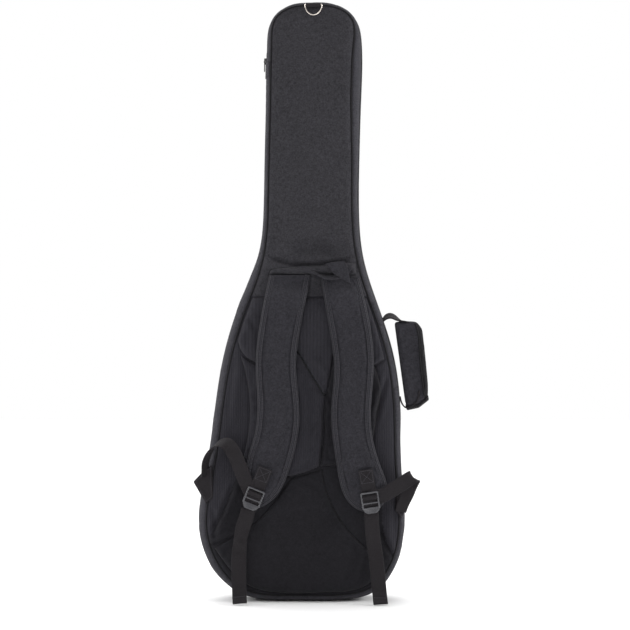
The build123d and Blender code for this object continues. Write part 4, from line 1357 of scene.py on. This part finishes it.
def garage():
    """The fabric cover over the end of the zip, on the left of the neck, sewn down to the panel's seam."""
    index = run_of((RIM[:, 0] < 0) & (RIM[:, 1] > 911) & (RIM[:, 1] < 938))
    shares = ((0.95, 0.06, 0.2), (0.9, -0.02, -0.8), (0.7, -0.035, -1.1), (0.48, 0.0, -1.2),
              (0.27, 0.09, -1.2), (0.11, 0.22, -1.3), (0.02, 0.40, -1.3), (0.0, 0.62, -1.4),
              (0.0, 0.84, -1.6), (0.0, 1.0, -2.2), (0.0, 1.09, -2.2), (0.0, 1.11, -1.0), (0.03, 1.0, 0.6),
              (0.1, 0.62, 1.0), (0.3, 0.3, 1.0), (0.6, 0.12, 1.0))
    rings = over_gusset(index, shares)
    p, f, t, w = shell_of(rings, False)
    rows = []
    for k in (1, len(index) - 2):
        path = rings[k, 1:10]
        out = np.stack([np.full(9, -1.0), np.linspace(-2.0, 0.0, 9), np.zeros(9)], 1)
        rows.append(stitches(path, out, pitch=3.2, length=2.3, rise=0.4))
    points, faces, uv, numbers = joined((p, f, t, w, 0), *rows)
    piece("zip_garage_cloth", "shell", points, faces, uv, [GUSSET, THREAD], "gusset_fabric",
          ["zip_garage"], numbers=numbers)


garage()

# ------------------------------------------------------------------ front pocket

POCKET_TOP, POCKET_INSET = 420.0, 26.0


def pocket_loop():
    """The pocket's outline: the bag's, moved in and cut off at the pocket's top."""
    place = rim(POCKET_INSET)
    index = run_of(place[:, 1] > POCKET_TOP)
    keep = [k for k in range(len(place)) if k not in set(index)]
    start = (index[-1] + 1) % len(place)
    order = [(start + k) % len(place) for k in range(len(keep))]
    run = place[order]
    run[0, 1] = run[-1, 1] = POCKET_TOP
    loop = clockwise(closed_by_lines(run))
    for _ in range(8):
        loop = (loop * 2 + np.roll(loop, 1, 0) + np.roll(loop, -1, 0)) / 4
    return loop


def pocket():
    loop = pocket_loop()
    normal = inward(loop)

    def ring_set(section):
        return np.stack([np.stack([(loop + normal * a)[:, 0], np.full(len(loop), y),
                                   (loop + normal * a)[:, 1]], 1)
                         for a, y in section], 1)
    rings = ring_set(((0.6, 47.0), (-0.2, 50.0), (-0.8, 55.0), (-1.0, 59.0), (-0.6, 63.0), (0.3, 65.6),
                      (1.6, 66.0), (3.6, 65.2), (3.8, 58.0), (3.6, 48.0)))
    swell = ripple(rings[:, 1:6].reshape(-1, 3), 40.0, 77.0).reshape(len(loop), 5) * 0.7
    rings[:, 1:6, 0] -= normal[:, 0][:, None] * swell
    rings[:, 1:6, 2] -= normal[:, 1][:, None] * swell
    p, f, t, w = shell_of(rings, True)
    piece("pocket_gusset_cloth", "lid", p, f, t, [GUSSET], "gusset_fabric", ["pocket_gusset"], w)
    tape = ring_set(((0.8, 65.4), (0.2, 66.2), (0.2, 69.2), (0.9, 69.9), (2.2, 69.9), (2.4, 65.4)))
    p, f, t, w = shell_of(tape, True)
    upper = run_of(loop[:, 1] > 250)
    coil = teeth((loop + normal * 0.4)[upper], -normal[upper], 67.6, 1.0, 0.0)
    points, faces, uv, numbers = joined((p, f, t, w, 0), coil)
    piece("pocket_zip_teeth", "lid", points, faces, uv, [ZIP_TAPE, TEETH], "zip", ["pocket_zip"], w,
          numbers)

    def front(flat, depth):
        points = upright(flat)
        crown = 3.2 * (1 - np.exp(-depth / 4.0)) + 2.4 * smooth(depth / 60)
        return 71.2 + crown + 0.8 * ripple(points, 55.0, 91.0) * smooth(depth / 14)
    points, faces, uv, *_ = pad(loop + normal * 0.6, 5.4, front, inner_face(70.4))
    made = piece("pocket_panel_cloth", "pocket_flap", points, faces, uv, [SHELL], "shell_fabric",
                 ["pocket_panel"])


pocket()

# ------------------------------------------------------------------ padding and straps inside


def block(name, node, loop, y_low, y_high, material, crown=2.0):
    """A foam pad on the inside of the back, fixed at y_low and crowned towards y_high."""
    def top(flat, depth):
        return y_low + (y_high - y_low - crown) * eased(depth, 5.0) + crown * smooth(depth / 20)
    points, faces, uv, *_ = pad(loop, 5.0, top, inner_face(y_low), rings=(0.6, 1.6, 3.2))
    made = piece(name, "shell", points, faces, uv, [material], "lining", [node], weld=0.02)
    edge = clockwise(loop)
    settle(made, lambda p: (nearest(p[:, [0, 2]], edge, closed=True)[0] < 1.0) | (p[:, 1] < y_low + 0.4),
           pressure=3.0, cap=1.6, shrink=-0.02)
    return made


def inside_pads():
    low, high = (np.array(v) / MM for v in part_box("headstock_pad"))
    corners = ((low[0], low[2]), (low[0], high[2]), (high[0], high[2]), (high[0], low[2]))
    block("headstock_pad_plush", "headstock_pad", rounded(corners, 30), low[1], high[1], PLUSH)

    low, high = (np.array(v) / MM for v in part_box("end_pad"))
    place, depth = rim(10.9), 13.0
    index = run_of((place[:, 1] < 90) & (place[:, 0] > low[0]) & (place[:, 0] < high[0]))
    outer, inner = place[index], rim(10.9 + depth)[index]
    loop = rounded(np.vstack([outer[::2], inner[::-2]]), 4)
    block("end_pad_plush", "end_pad", loop, low[1], high[1], PLUSH, crown=1.0)

    low, high = (np.array(v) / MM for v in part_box("neck_rest"))
    wide, floor_y, top_y = (high[0] - low[0]) / 2, low[1], high[1]
    middle = (low[0] + high[0]) / 2
    section = ((-1, 0), (-1.02, 0.5), (-0.99, 0.86), (-0.92, 0.98), (-0.8, 1.0), (-0.64, 0.96),
               (-0.54, 0.84), (-0.46, 0.56), (-0.34, 0.40), (-0.15, 0.34), (0.15, 0.34), (0.34, 0.40),
               (0.46, 0.56), (0.54, 0.84), (0.64, 0.96), (0.8, 1.0), (0.92, 0.98), (0.99, 0.86),
               (1.02, 0.5), (1, 0))
    rings = []
    for z, share in zip((low[2], low[2] + 0.6, low[2] + 3, low[2] + 8, low[2] + 22, high[2] - 22,
                         high[2] - 8, high[2] - 3, high[2] - 0.6, high[2]),
                        (0.86, 0.93, 0.98, 1, 1.01, 1.01, 1, 0.98, 0.93, 0.86)):
        rings.append([(middle + wide * a * (0.6 + 0.4 * share), floor_y + (top_y - floor_y) * b * share, z)
                      for a, b in section])
    p, f, t, w = shell_of(np.array(rings), False)
    made = piece("neck_rest_plush", "shell", p, f, t, [PLUSH], "lining", ["neck_rest"], w)
    subdivided(made)

    low, high = (np.array(v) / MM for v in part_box("neck_strap"))
    z = (low[2] + high[2]) / 2
    a, b, top = low[0] + 1.4, high[0] - 1.4, high[1] - 1.4
    spots = ((a + 1, -33), (a, -12), (a, 8), (a + 6, top - 4), (a + 24, top), (0, top + 0.8),
             (b - 24, top), (b - 6, top - 4), (b, 8), (b, -12), (b - 1, -33))
    web = strip([(x, y, z, 0, 0, 1) for x, y in spots], high[2] - low[2], 2.4, 3.0)
    piece("neck_strap_web", "shell", *web[:3], [WEBBING], "webbing", ["neck_strap"], web[3])


inside_pads()


def hinge_cloth():
    """The cloth along the left side that joins the two halves where there is no zip."""
    index = run_of((BAND == 1) & (RIM[:, 1] > 120) & (RIM[:, 1] < 928))
    flat = np.zeros(len(RIM))
    outer = [(flat + a, y) for a, y in ((0.5, -3.0), (-0.2, 0.0), (-0.6, 2.0), (-0.9, 4.0), (-1.0, 5.6),
                                        (-1.0, 6.5), (-1.0, 7.4), (-0.9, 9.0), (-0.6, 11.0), (-0.2, 13.0),
                                        (0.5, 16.0))]
    inner = [(a + 1.1, y) for a, y in outer[::-1]]
    rings = rings_at(index, outer + inner)
    p, f, t, w = shell_of(rings, False)
    made = piece("hinge_cloth", "shell", p, f, t, [GUSSET], "gusset_fabric", [], w, ride=False)
    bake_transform(made)


hinge_cloth()


# ------------------------------------------------------------------ camera, light, floor

WORLD_LIGHT = 0.46
SUN_POWER, SUN_SPREAD, SUN_TILT, SUN_TURN = 2.6, 60, -24, -12
SOFTBOXES = (((-2.4, -0.2, 1.4), (0, 0, 0.6), 1.2, 26), ((2.4, -0.3, 1.4), (0, 0, 0.7), 1.2, 44),
             ((-0.9, -3.0, 2.3), (0, 0, 0.8), 1.4, 22))
CAMERA_AT, LENS = (0.0084, -3.546, 0.4985), 115.3


def studio():
    scene = bpy.context.scene
    scene.view_settings.view_transform = "Standard"
    world = bpy.data.worlds.new("studio")
    scene.world = world
    world.use_nodes = True
    tree = world.node_tree
    back = tree.nodes["Background"]
    back.inputs["Color"].default_value = (1, 1, 1, 1)
    seen = tree.nodes.new("ShaderNodeLightPath").outputs["Is Camera Ray"]
    power = tree.nodes.new("ShaderNodeMapRange")
    power.inputs["To Min"].default_value, power.inputs["To Max"].default_value = WORLD_LIGHT, 1.0
    tree.links.new(seen, power.inputs["Value"])
    tree.links.new(power.outputs[0], back.inputs["Strength"])
    floor_mesh = bpy.data.meshes.new("floor")
    floor_mesh.from_pydata([(-6, -6, 0), (6, -6, 0), (6, 6, 0), (-6, 6, 0)], [], [(0, 1, 2, 3)])
    floor = bpy.data.objects.new("floor", floor_mesh)
    scene.collection.objects.link(floor)
    paper = Finish("paper", (250, 250, 250), 0.9, specular=0.1)
    floor_mesh.materials.append(paper.material)
    sun = bpy.data.lights.new("sun", "SUN")
    sun.energy, sun.angle = SUN_POWER, math.radians(SUN_SPREAD)
    high = bpy.data.objects.new("sun", sun)
    high.rotation_euler = (math.radians(SUN_TILT), math.radians(SUN_TURN), 0)
    scene.collection.objects.link(high)
    for place, aim, size, power in SOFTBOXES:
        light = bpy.data.lights.new("softbox", "AREA")
        light.energy, light.size, light.shape = power, size, "DISK"
        lamp = bpy.data.objects.new("softbox", light)
        lamp.location = place
        lamp.rotation_euler = (Vector(aim) - Vector(place)).to_track_quat("-Z", "Y").to_euler()
        scene.collection.objects.link(lamp)
    lens = bpy.data.cameras.new("camera")
    lens.lens, lens.sensor_width = LENS, 36.0
    camera = bpy.data.objects.new("camera", lens)
    camera.location = CAMERA_AT
    camera.rotation_euler = (math.pi / 2, 0, 0)
    scene.collection.objects.link(camera)
    scene.camera = camera


studio()
